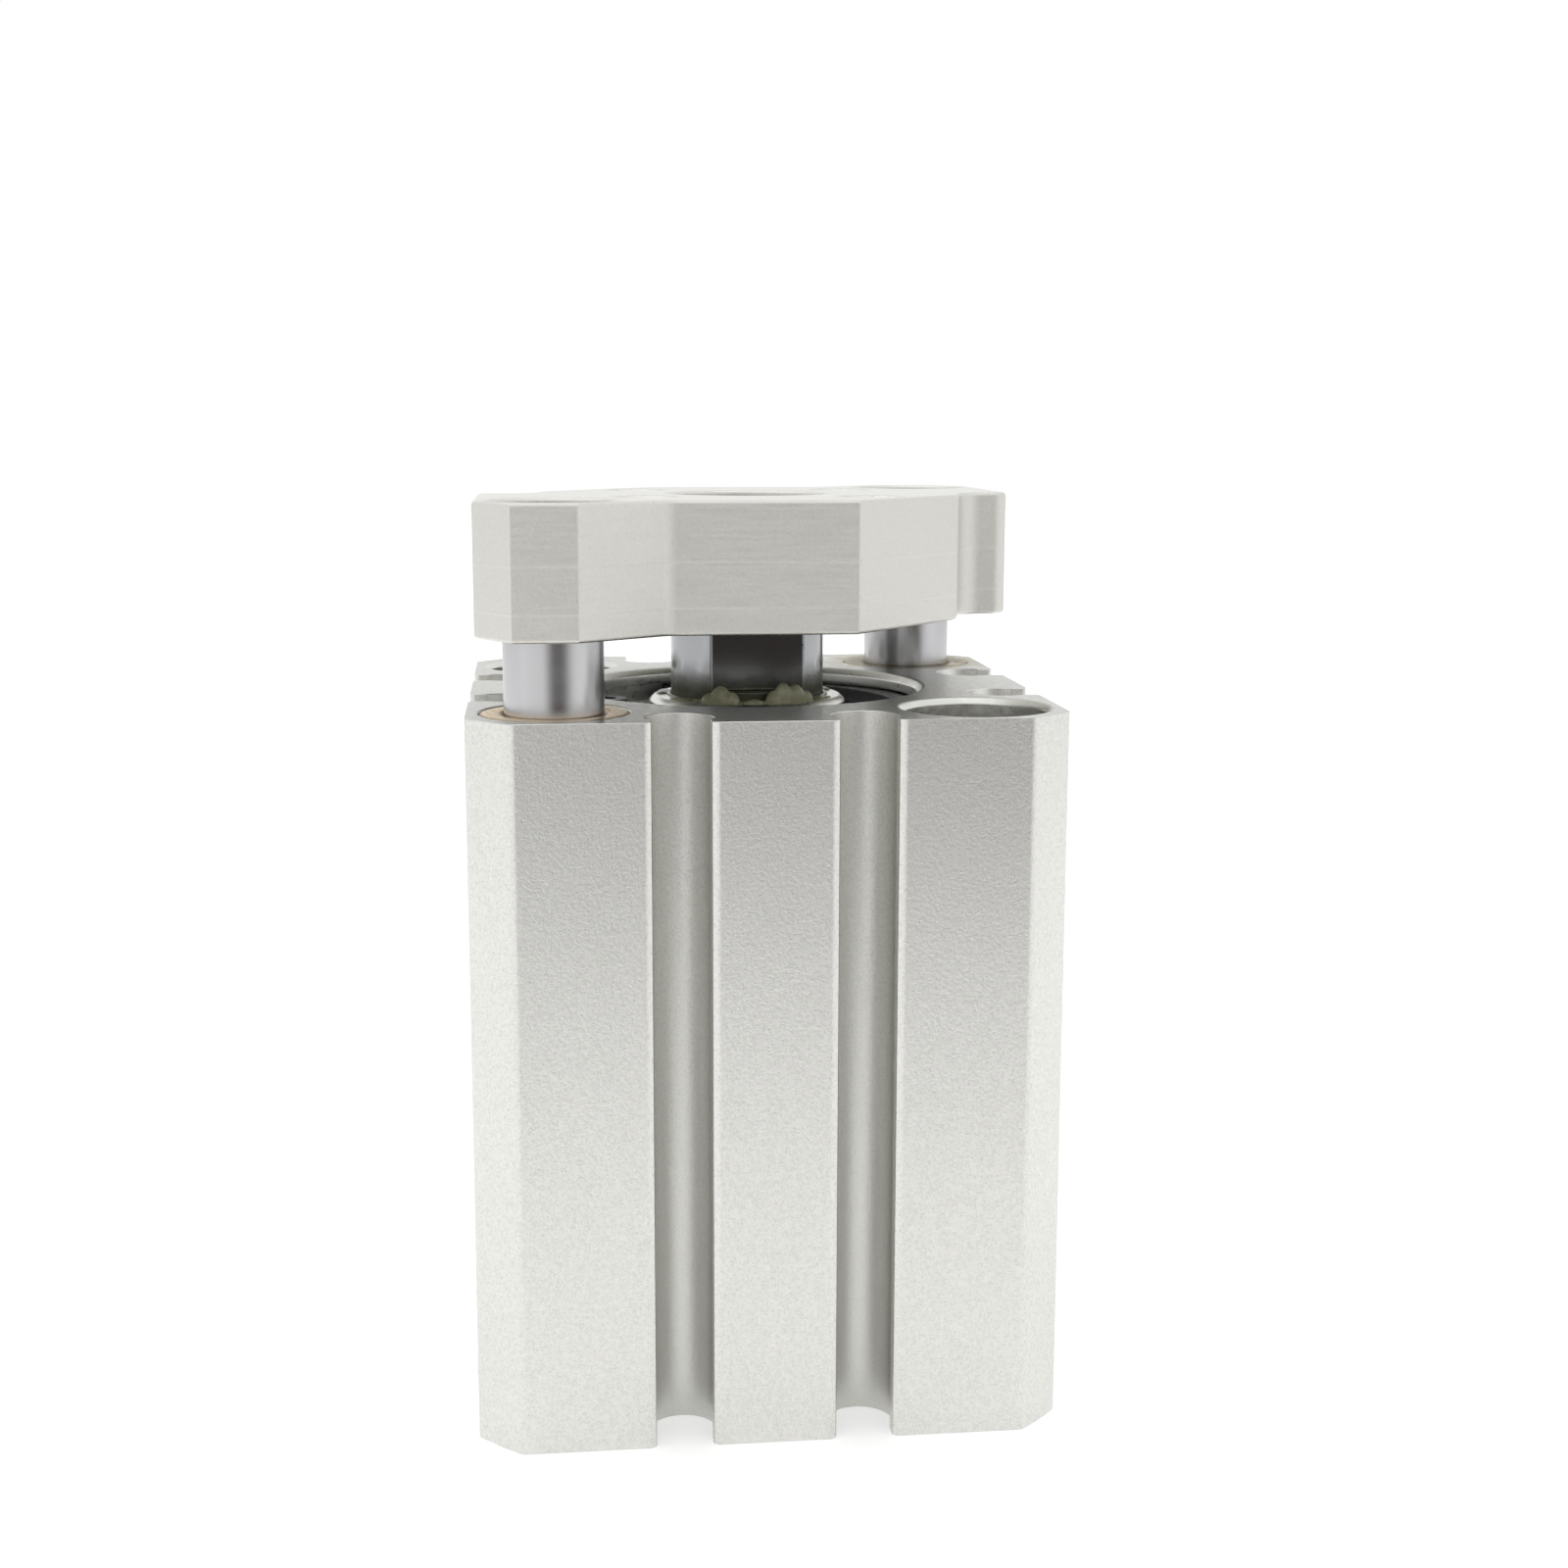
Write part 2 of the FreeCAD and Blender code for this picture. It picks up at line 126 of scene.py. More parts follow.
class CylinderSizes(bpy.types.PropertyGroup):
    """Sizes of the fine detail, in millimetres."""

    tube_corner_radius: FloatProperty(
        name="Extrusion Corner Radius", default=0.3, min=0.0,
        description="Rounding of the tube's long edges, mm")
    tube_end_radius: FloatProperty(
        name="Cut Edge Radius", default=0.07, min=0.0,
        description="Deburring of the tube's faced outline, mm")
    hole_edge_radius: FloatProperty(
        name="Hole Edge Radius", default=0.14, min=0.0,
        description="Deburring of the holes in the tube, mm")
    plate_edge_radius: FloatProperty(
        name="Plate Edge Bevel", default=0.24, min=0.0,
        description="Bevel round the end plate's outline, mm")
    turned_edge_radius: FloatProperty(
        name="Turned Edge Radius", default=0.12, min=0.0,
        description="Rounding of turned parts' edges, mm")
    port_pitch: FloatProperty(
        name="Port Thread Pitch", default=0.8, min=0.1,
        description="Pitch of the M5 air port threads, mm")
    port_major: FloatProperty(
        name="Port Thread Diameter", default=5.0, min=1.0,
        description="Major diameter of the air port threads, mm")
    tool_pitch: FloatProperty(
        name="Tool Hole Pitch", default=0.7, min=0.1,
        description="Pitch of the M4 threads in the end plate, mm")
    tool_major: FloatProperty(
        name="Tool Hole Diameter", default=4.0, min=1.0,
        description="Major diameter of the end plate's threads, mm")
    knurl_depth: FloatProperty(
        name="Knurl Depth", default=0.11, min=0.0,
        description="Depth of the grooves on a screw head, mm")
    knurls: IntProperty(
        name="Knurls", default=36, min=8, max=80,
        description="Grooves round a screw head")
    grease_height: FloatProperty(
        name="Grease Height", default=0.8, min=0.0,
        description="Height of the grease bead round the piston rod, mm")


class CylinderFinishes(bpy.types.PropertyGroup):
    """Colours and roughness of the visible finishes."""

    body_colour: FloatVectorProperty(
        name="Body Colour", subtype="COLOR", default=(0.780, 0.777, 0.743), min=0.0, max=1.0,
        description="Clear anodised, bead-blasted aluminium")
    body_roughness: FloatProperty(
        name="Body Roughness", subtype="FACTOR", default=0.335, min=0.0, max=1.0,
        description="How satin the blasted tube is")
    plate_colour: FloatVectorProperty(
        name="Plate Colour", subtype="COLOR", default=(0.732, 0.725, 0.684), min=0.0, max=1.0,
        description="Milled, anodised aluminium")
    plate_roughness: FloatProperty(
        name="Plate Roughness", subtype="FACTOR", default=0.50, min=0.0, max=1.0,
        description="How satin the milled plate is")
    chrome_colour: FloatVectorProperty(
        name="Chrome Colour", subtype="COLOR", default=(0.555, 0.555, 0.565), min=0.0, max=1.0,
        description="Hard chrome of the rods")
    piston_rod_colour: FloatVectorProperty(
        name="Piston Rod Colour", subtype="COLOR", default=(0.38, 0.39, 0.40), min=0.0, max=1.0,
        description="Darker hard chrome of the piston rod")
    bronze_colour: FloatVectorProperty(
        name="Bronze Colour", subtype="COLOR", default=(0.76, 0.60, 0.40), min=0.0, max=1.0,
        description="Sintered bronze of the guide bushes")
    grease_colour: FloatVectorProperty(
        name="Grease Colour", subtype="COLOR", default=(0.35, 0.345, 0.22), min=0.0, max=1.0,
        description="Olive lithium grease")


class StudioSettings(bpy.types.PropertyGroup):
    """Where the camera stands and how bright the studio is."""

    camera_place: FloatVectorProperty(
        name="Camera Place", subtype="TRANSLATION", unit="LENGTH",
        default=(-0.01364, -0.14088, 0.06148), description="Where the camera stands")
    camera_yaw: FloatProperty(
        name="Camera Yaw", unit="ROTATION", default=0.1139,
        description="Turn of the view from +Y towards +X")
    camera_pitch: FloatProperty(
        name="Camera Pitch", unit="ROTATION", default=0.1656,
        description="How far the view looks down")
    camera_roll: FloatProperty(
        name="Camera Roll", unit="ROTATION", default=0.0024,
        description="Tilt of the view about its own axis")
    lens: FloatProperty(
        name="Lens", default=49.586, min=1.0,
        description="Focal length on a 36 mm wide sensor, mm")
    sky_level: FloatProperty(
        name="Sky Level", default=0.80, min=0.0,
        description="Even light from all round")
    softbox_level: FloatProperty(
        name="Softbox Power", unit="POWER", default=0.5, min=0.0,
        description="Power of the softbox overhead")
    floor_colour: FloatVectorProperty(
        name="Floor Colour", subtype="COLOR", default=(0.86, 0.86, 0.86), min=0.0, max=1.0,
        description="Pale studio floor")


def sizes():
    return bpy.context.scene.cylinder_sizes


def finishes():
    return bpy.context.scene.cylinder_finishes


def studio():
    return bpy.context.scene.cylinder_studio


# ---- node trees --------------------------------------------------------------------------------

def put(tree, kind, given=None, **attributes):
    """A node with its attributes set, and its inputs set to values or linked to sockets."""
    n = tree.nodes.new(kind)
    for key, value in attributes.items():
        setattr(n, key, value)
    for key, value in (given or {}).items():
        if isinstance(value, Number):
            value = value.socket
        if isinstance(value, bpy.types.NodeSocket):
            tree.links.new(value, n.inputs[key])
        elif n.inputs[key].type == "RGBA":
            n.inputs[key].default_value = (*value[:3], 1.0)
        else:
            n.inputs[key].default_value = value
    return n


class Number:
    """A number worked out by nodes. Arithmetic on it adds Math nodes to its tree."""

    def __init__(self, tree, socket):
        self.tree, self.socket = tree, socket

    def __add__(self, other):
        return maths("ADD", self, other)

    def __sub__(self, other):
        return maths("SUBTRACT", self, other)

    def __rsub__(self, other):
        return maths("SUBTRACT", other, self)

    def __mul__(self, other):
        return maths("MULTIPLY", self, other)

    def __truediv__(self, other):
        return maths("DIVIDE", self, other)

    def __abs__(self):
        return maths("ABSOLUTE", self)


def maths(operation, a, b=0.0, clamp=False):
    """One Math node's result. At least one of a and b is a Number."""
    tree = (a if isinstance(a, Number) else b).tree
    n = put(tree, "ShaderNodeMath", {0: a, 1: b}, operation=operation, use_clamp=clamp)
    return Number(tree, n.outputs[0])


def parts(tree, vector):
    """A vector's X, Y and Z."""
    return [Number(tree, o) for o in put(tree, "ShaderNodeSeparateXYZ", {0: vector}).outputs]


def remap(value, low, high, to_low=0.0, to_high=1.0):
    """value taken smoothly from low..high to to_low..to_high."""
    n = put(value.tree, "ShaderNodeMapRange",
            {"Value": value, "From Min": low, "From Max": high,
             "To Min": to_low, "To Max": to_high}, interpolation_type="SMOOTHSTEP")
    return Number(value.tree, n.outputs["Result"])


def between(factor, a, b):
    """A number from a, where factor is 0, to b, where it is 1."""
    return factor * (b - a) + a


def mix(factor, a, b):
    """Colour between a and b."""
    return put(factor.tree, "ShaderNodeMix", {0: factor, 6: a, 7: b}, data_type="RGBA").outputs[2]


class Finish:
    """A material being built: its tree, its shader and the object coordinates."""

    def __init__(self, name, colour, roughness, metallic=1.0, **extra):
        self.material = bpy.data.materials.new(name)
        self.material.use_nodes = True
        self.material.diffuse_color = (*colour[:3], 1.0)
        self.tree = self.material.node_tree
        self.tree.nodes.clear()
        self.shader = put(self.tree, "ShaderNodeBsdfPrincipled",
                          {"Base Color": colour, "Roughness": roughness, "Metallic": metallic,
                           **extra})
        self.output = put(self.tree, "ShaderNodeOutputMaterial",
                          {"Surface": self.shader.outputs[0]})
        self.place = put(self.tree, "ShaderNodeTexCoord").outputs["Object"]
        self.relief = None

    def colour(self, value):
        self.tree.links.new(value, self.shader.inputs["Base Color"])

    def roughness(self, value):
        self.tree.links.new(value.socket, self.shader.inputs["Roughness"])

    def patchy(self, per_mm, detail, low, high):
        """Roughness that drifts from low to high, with per_mm patches a millimetre."""
        self.roughness(remap(self.noise(per_mm, detail), 0.3, 0.7, low, high))

    def stretched(self, x, y, z, centre=(0.0, 0.0, 0.0)):
        """Object coordinates in millimetres about centre, times x, y and z."""
        factor = Vector((x, y, z)) / MM
        moved = Vector(-c * f * MM for c, f in zip(centre, factor))
        return put(self.tree, "ShaderNodeMapping",
                   {"Vector": self.place, "Location": moved, "Scale": factor}).outputs[0]

    def noise(self, per_mm, detail=2.0, roughness=0.5, stretch=(1.0, 1.0, 1.0), distortion=0.0):
        """Noise with that many features a millimetre along each axis."""
        where = self.stretched(*(per_mm * s for s in stretch))
        n = put(self.tree, "ShaderNodeTexNoise",
                {"Vector": where, "Scale": 1.0, "Detail": detail, "Roughness": roughness,
                 "Distortion": distortion})
        return Number(self.tree, n.outputs["Fac"])

    def radius(self, centre=(0.0, 0.0)):
        """Distance in millimetres from an upright line."""
        where = self.stretched(1, 1, 0, centre=(*centre[:2], 0))
        n = put(self.tree, "ShaderNodeVectorMath", {0: where}, operation="LENGTH")
        return Number(self.tree, n.outputs["Value"])

    def along(self, direction):
        """Distance in millimetres from the origin along a direction."""
        n = put(self.tree, "ShaderNodeVectorMath", {0: self.stretched(1, 1, 1), 1: direction},
                operation="DOT_PRODUCT")
        return Number(self.tree, n.outputs["Value"])

    def xyz(self):
        """Object coordinates in millimetres, as three numbers."""
        return parts(self.tree, self.stretched(1, 1, 1))

    def height(self):
        """Height above the floor in millimetres."""
        return self.xyz()[2]

    def rings(self, radius, pitch, wobble):
        """Turning or milling marks: fine grooves at even steps of a radius, with some drift."""
        drift = self.noise(1.4, 1.0) * wobble
        return maths("SINE", (radius + drift) * (2 * math.pi / pitch))

    def bump(self, height, depth_mm):
        """Adds relief of that depth on top of what is there."""
        given = {"Height": height, "Distance": depth_mm * MM, "Strength": 1.0}
        if self.relief:
            given["Normal"] = self.relief
        self.relief = put(self.tree, "ShaderNodeBump", given).outputs[0]
        self.tree.links.new(self.relief, self.shader.inputs["Normal"])
        return self


# ---- finishes ----------------------------------------------------------------------------------

def shade(colour, factor):
    return tuple(min(1.0, c * factor) for c in colour[:3])


GRAIN_PER_MM = 4.8                          # of the bead-blasted tube
MILLED_GRAIN_PER_MM = 5.2
CUTTER_LAPS = (0.21, 0.55)                  # heights of the two laps, as shares of the plate's
GROOVE_SHADE_SKIN = (0.2, 1.2)                    # inwards of the faces, where painted shade darkens a groove's wall
CHAMFER_REACH = (29.0, 27.5)                # |x| + |y| of a corner chamfer, and of a groove's wall
TUBE_CUTTER = (41.0, -17.0)                 # centre of the cutter that faced the tube
PLATE_CUTTER, PLATE_CROSS_CUTTER = (-6.0, 38.0), (-6.0, -34.0)
OLD_OIL = (0.30, 0.26, 0.13)
OIL_FILM = (0.42, 0.43, 0.37)
OLD_GREASE = (0.095, 0.098, 0.065)
NICK = (0.08, 0.08, 0.09)
SEAM, PORE, OILY_BRONZE = (0.13, 0.08, 0.04), (0.20, 0.13, 0.07), (0.16, 0.13, 0.06)


def blasted_aluminium():
    """Bead-blasted and anodised: crisp grain, faint drawing lines, and painted shade low in the
    grooves.
    """
    f = finishes()
    m = Finish("anodised_body", f.body_colour, f.body_roughness)
    grain = m.noise(GRAIN_PER_MM, 4.0, 0.74)
    fine = m.noise(9.0, 2.0)
    lines = m.noise(2.2, 2.0, stretch=(1.0, 1.0, 0.012))
    tone = mix(m.noise(0.16, 3.0), shade(f.body_colour, 0.975), shade(f.body_colour, 1.01))
    x, y, z = m.xyz()
    # painted shade: the grooves' walls are darkened, more towards the bottom of the tube
    inwards = TUBE_SIDE - maths("MAXIMUM", abs(x), abs(y))
    groove_shade = remap(inwards, *GROOVE_SHADE_SKIN) * remap(abs(x) + abs(y), *CHAMFER_REACH)
    low = remap(z, TUBE_TOP, 0.0, 0.15, 1.0)
    tone = mix(groove_shade * low, tone, shade(f.body_colour, 0.83))
    speck = remap(grain, 0.30, 0.70) * remap(fine, 0.25, 0.70)
    m.colour(mix(speck, tone, shade(f.body_colour, 0.77)))
    m.roughness(remap(grain, 0.2, 0.8, f.body_roughness - 0.05, f.body_roughness + 0.06))
    m.bump(lines, 0.0012).bump(grain, 0.024)
    return m.material


def sawn_aluminium():
    """The tube's faced ends: arcs of a wide cutter, a film of oil and a stain by the rear rod."""
    colour = shade(finishes().body_colour, 0.74)
    m = Finish("anodised_body_faced_end", colour, 0.34)
    cloud = m.noise(0.35, 3.0, distortion=1.2)
    stain = remap(m.radius(REAR_ROD), 7.5, 3.5) * remap(cloud, 0.36, 0.58)
    film = remap(m.radius(), 15.0, 9.5) * 0.35
    tone = mix(film, mix(cloud, shade(colour, 0.95), shade(colour, 1.05)), OIL_FILM)
    m.colour(mix(stain * 0.85, tone, OLD_OIL))
    m.patchy(2.0, 2.0, 0.29, 0.39)
    m.bump(m.rings(m.radius(TUBE_CUTTER), 0.42, 0.02), 0.0004)
    return m.material


def bored_aluminium():
    """Drilled and bored walls inside the tube and plate."""
    colour = shade(finishes().body_colour, 0.93)
    m = Finish("anodised_body_bored", colour, 0.32)
    m.colour(mix(m.noise(0.8, 2.0), shade(colour, 0.94), colour))
    m.patchy(2.0, 2.0, 0.27, 0.38)
    m.bump(m.noise(2.4, 1.0, stretch=(0.05, 0.05, 1.0)), 0.0006)
    return m.material


def milled_plate_side():
    """The plate's edges: an even fine grain, faint long cutter lines and the cutter's laps."""
    f = finishes()
    m = Finish("milled_plate", f.plate_colour, f.plate_roughness)
    brushed = m.noise(6.0, 2.0, 0.6, stretch=(0.04, 0.04, 1.0))
    grain = m.noise(MILLED_GRAIN_PER_MM, 4.0, 0.72)
    tone = mix(brushed, shade(f.plate_colour, 0.975), shade(f.plate_colour, 1.02))
    tone = mix(remap(grain, 0.3, 0.7) * 0.6, tone, shade(f.plate_colour, 0.90))
    specks = remap(m.noise(3.0, 2.0), 0.78, 0.81)
    m.colour(mix(specks, tone, shade(f.plate_colour, 0.6)))
    m.roughness(remap(brushed, 0.3, 0.7, f.plate_roughness - 0.03, f.plate_roughness + 0.04))
    m.bump(brushed, 0.0016).bump(grain, 0.018)
    for lap in CUTTER_LAPS:
        away = abs(m.height() - (PLATE_BOTTOM + lap * PLATE_THICK))
        m.bump(remap(away, 0.11, 0.02), 0.009)
    return m.material


def milled_plate_face():
    """The plate's two faces: sweeping arcs of the facing cutter."""
    colour = finishes().plate_colour
    m = Finish("milled_plate_face", colour, 0.30)
    arcs = m.rings(m.radius(PLATE_CUTTER), 0.5, 0.12)
    cross = m.rings(m.radius(PLATE_CROSS_CUTTER), 0.5, 0.12)
    m.colour(mix(arcs * 0.25 + m.noise(0.2, 3.0), shade(colour, 0.93), shade(colour, 1.02)))
    m.patchy(2.0, 2.0, 0.25, 0.35)
    m.bump(arcs, 0.0010).bump(cross, 0.0004)
    return m.material


def lay_round(m):
    """The finest grinding marks, round a rod."""
    return m.noise(9.0, 2.0, stretch=(0.05, 0.05, 1.0))


def chromed():
    """Ground and chromed rod: nearly a mirror, with the finest lay round it."""
    colour = finishes().chrome_colour
    m = Finish("chromed_rod", colour, 0.25)
    lay = lay_round(m)
    m.colour(mix(lay, shade(colour, 0.97), colour))
    m.patchy(0.5, 3.0, 0.23, 0.27)
    m.bump(lay, 0.0004)
    return m.material


def oiled_chrome():
    """The piston rod: darker chrome, nicked at the wrench flats and with painted shade on them, with
    old grease at its foot.
    """
    colour = finishes().piston_rod_colour
    m = Finish("chromed_rod_oiled", colour, 0.16)
    height = m.height()

    drip = height + m.noise(0.5, 3.0) * 2.0
    smears = remap(m.noise(0.55, 3.0, stretch=(1.0, 1.0, 0.25)), 0.35, 0.65, 0.25, 0.8)
    below = remap(height, COVER_TOP - 9.0, COVER_TOP - 0.5) * smears
    at_foot = remap(height, COVER_TOP - 0.6, COVER_TOP + 0.2)
    film = remap(drip, COVER_TOP + 3.0, COVER_TOP + 1.2) * maths("MAXIMUM", below, at_foot)

    # painted shade: the two wrench flats are darkened, standing in for the dark gap under the plate
    # that they mirror
    across = m.along((-math.sin(FLAT_TURN), math.cos(FLAT_TURN), 0.0))
    off_flat = abs(abs(across) - FLAT_DISTANCE)
    shaded_flat = maths("LESS_THAN", off_flat, 0.05) * maths("GREATER_THAN", height, FLAT_FOOT)
    near_flats = remap(height, FLAT_FOOT - 0.6, FLAT_FOOT + 0.4, 0.15, 1.0)
    nicks = remap(m.noise(2.6, 3.0), 0.71, 0.74) * near_flats

    clean = mix(nicks, mix(shaded_flat, colour, shade(colour, 0.68)), NICK)
    m.colour(mix(film, clean, OLD_GREASE))
    m.roughness(between(film, 0.16, 0.42))
    m.bump(lay_round(m), 0.0004).bump(film * m.noise(1.2, 2.0), 0.02)
    return m.material


def turned_aluminium(name="turned_cover", colour=(0.78, 0.78, 0.755), pitch=0.16):
    """Lathe-turned aluminium: rings round the cylinder's own axis."""
    m = Finish(name, colour, 0.28)
    m.patchy(2.0, 2.0, 0.27, 0.31)
    m.bump(m.rings(m.radius(), pitch, 0.01), 0.0016)
    return m.material


def sintered_bronze():
    """Porous, oil-soaked bronze, brown at its two seams and dirty with old oil by the rear rod."""
    colour = finishes().bronze_colour
    m = Finish("bronze_bush", colour, 0.36)
    porous = m.noise(4.5, 2.0, 0.7)
    pores = remap(porous, 0.46, 0.36)
    tone = mix(m.noise(0.7, 2.0), shade(colour, 0.9), shade(colour, 1.1))
    tone = mix(pores * 0.35, tone, PORE)
    rear = m.radius(REAR_ROD)
    out = maths("MINIMUM", rear, m.radius(FRONT_ROD))
    seam = maths("MAXIMUM", remap(out, BUSH_RADIUS - 0.28, BUSH_RADIUS - 0.10),
                 remap(out, GUIDE_RADIUS + 0.35, GUIDE_RADIUS + 0.15))
    tone = mix(seam * 0.8, tone, SEAM)
    oily = (remap(rear, BUSH_RADIUS + 0.8, BUSH_RADIUS - 0.7)
            * remap(m.noise(0.6, 3.0), 0.26, 0.46, 0.35, 1.0))
    m.colour(mix(oily, tone, OILY_BRONZE))
    m.roughness(between(pores, 0.33, 0.55))
    m.bump(porous, 0.003)
    return m.material


def black_spring_steel():
    """Blackened spring steel of the retaining ring, worn greyer in patches."""
    m = Finish("blackened_ring", (0.05, 0.05, 0.052), 0.38, 0.7)
    worn = remap(m.noise(1.5, 4.0, 0.65), 0.5, 0.78)
    m.colour(mix(worn * 0.5, (0.045, 0.045, 0.048), (0.16, 0.155, 0.15)))
    m.patchy(4.0, 2.0, 0.32, 0.46)
    m.bump(m.noise(4.0, 2.0), 0.003)
    return m.material


def screw_steel():
    """Nickel-plated steel of the socket screws."""
    m = Finish("screw_steel", (0.56, 0.55, 0.53), 0.26)
    m.colour(mix(m.noise(1.2, 3.0), (0.50, 0.49, 0.47), (0.60, 0.59, 0.57)))
    m.patchy(2.5, 3.0, 0.24, 0.36)
    m.bump(m.noise(3.5, 2.0), 0.0012)
    return m.material


def moulded(name, colour, roughness):
    """Rubber, urethane or bonded magnet: dull, finely grained."""
    m = Finish(name, colour, roughness, 0.0)
    m.colour(mix(m.noise(0.8, 3.0), shade(colour, 0.8), shade(colour, 1.15)))
    m.patchy(3.0, 2.0, roughness - 0.06, roughness + 0.08)
    m.bump(m.noise(5.0, 3.0), 0.004)
    return m.material


def greasy():
    """Olive grease, cloudy but letting light in."""
    colour = finishes().grease_colour
    m = Finish("rod_grease", colour, 0.22, 0.0, **{"Transmission Weight": 0.15, "IOR": 1.45})
    m.colour(mix(m.noise(0.9, 3.0), shade(colour, 0.6), shade(colour, 1.5)))
    m.patchy(1.5, 2.0, 0.16, 0.34)
    m.bump(m.noise(1.6, 3.0), 0.05)
    return m.material


MAKERS = {
    "anodised_body": blasted_aluminium,
    "anodised_body_faced_end": sawn_aluminium,
    "anodised_body_bored": bored_aluminium,
    "milled_plate": milled_plate_side,
    "milled_plate_face": milled_plate_face,
    "chromed_rod": chromed,
    "chromed_rod_oiled": oiled_chrome,
    "turned_cover": turned_aluminium,
    "piston_alloy": lambda: turned_aluminium("piston_alloy", (0.70, 0.69, 0.66), 0.2),
    "bronze_bush": sintered_bronze,
    "blackened_ring": black_spring_steel,
    "screw_steel": screw_steel,
    "rubber_seal": lambda: moulded("rubber_seal", (0.018, 0.018, 0.018), 0.5),
    "urethane_bumper": lambda: moulded("urethane_bumper", (0.10, 0.16, 0.09), 0.45),
    "magnet_ring": lambda: moulded("magnet_ring", (0.05, 0.048, 0.045), 0.6),
    "rod_grease": greasy,
}
made = {}


def finish(name):
    """The material of that name, made the first time it is asked for."""
    if name not in made:
        made[name] = MAKERS[name]()
    return made[name]


# ---- meshes ------------------------------------------------------------------------------------

WELD = 0.002 * MM                           # vertices closer than this are one
FLAT_ENOUGH = math.radians(0.4)             # faces that meet flatter than this are one
SHARP = math.radians(28.0)                  # edges sharper than this are rounded
BEVEL_STEPS = 3
LATHE_STEPS = 96


def link(name, mesh):
    """A new object at the origin."""
    o = bpy.data.objects.new(name, mesh)
    bpy.context.scene.collection.objects.link(o)
    return o


def settle(o):
    """Turns the object's modifiers into plain mesh."""
    depsgraph = bpy.context.evaluated_depsgraph_get()
    mesh = bpy.data.meshes.new_from_object(
        o.evaluated_get(depsgraph), preserve_all_data_layers=True, depsgraph=depsgraph)
    old = o.data
    o.modifiers.clear()
    o.data = mesh
    bpy.data.meshes.remove(old)
    mesh.name = o.name
    return o


def merged_copy(node):
    """A welded copy of a CAD node's mesh in which each flat face is one face."""
    bm = bmesh.new()
    bm.from_mesh(NODES[node].data)
    bmesh.ops.remove_doubles(bm, verts=bm.verts, dist=WELD)
    bmesh.ops.dissolve_degenerate(bm, dist=WELD, edges=bm.edges)
    bmesh.ops.dissolve_limit(bm, angle_limit=FLAT_ENOUGH, verts=bm.verts, edges=bm.edges)
    return bm


def dressed(name, bm, materials, radius_of, material_of=None, steps=BEVEL_STEPS):
    """An object from bm, its sharp edges rounded by radius_of(middle, direction), in mm."""
    mesh = bpy.data.meshes.new(name)
    weights = bm.edges.layers.float.new("bevel_weight_edge")
    radii = {}
    for e in bm.edges:
        if e.calc_face_angle(0.0) >= SHARP:
            a, b = (v.co / MM for v in e.verts)
            radii[e] = radius_of((a + b) / 2, (b - a).normalized())
    largest = max(radii.values(), default=0.0)
    for e, r in radii.items():
        e[weights] = r / largest if largest else 0.0
    for face in bm.faces:
        face.smooth = True
        face.material_index = (
            material_of(face.calc_center_median() / MM, face.normal) if material_of else 0)
    bm.to_mesh(mesh)
    bm.free()
    for m in materials:
        mesh.materials.append(finish(m))
    o = link(name, mesh)
    bevel = o.modifiers.new("edges", "BEVEL")
    bevel.limit_method = "WEIGHT"
    bevel.width = largest * MM
    bevel.segments = steps
    bevel.use_clamp_overlap = False
    bevel.loop_slide = True
    smooth = o.modifiers.new("normals", "WEIGHTED_NORMAL")
    smooth.keep_sharp = True
    smooth.weight = 80
    return settle(o)


def facing(axis, place):
    """Matrix that takes a piece built along +Z to place, in metres, with its +Z along axis."""
    return Matrix.Translation(place) @ Vector(axis).to_track_quat("Z", "Y").to_matrix().to_4x4()


def lathe(profile, x=0.0, y=0.0):
    """A closed profile of (radius, z) points turned about an upright axis, in millimetres."""
    bm = bmesh.new()
    rings = []
    for i in range(LATHE_STEPS):
        angle = 2 * math.pi * i / LATHE_STEPS
        rings.append([bm.verts.new(((x + r * math.cos(angle)) * MM,
                                    (y + r * math.sin(angle)) * MM, z * MM)) for r, z in profile])
    for ring, following in zip(rings, rings[1:] + rings[:1]):
        for j in range(len(profile)):
            k = (j + 1) % len(profile)
            bm.faces.new((ring[j], following[j], following[k], ring[k]))
    bmesh.ops.recalc_face_normals(bm, faces=bm.faces)
    return bm


def shaded(o, angle=30.0):
    """Smooth faces with the edges over that angle kept crisp."""
    for polygon in o.data.polygons:
        polygon.use_smooth = True
    o.data.set_sharp_from_angle(angle=math.radians(angle))
    return o


# ---- geometry nodes ----------------------------------------------------------------------------

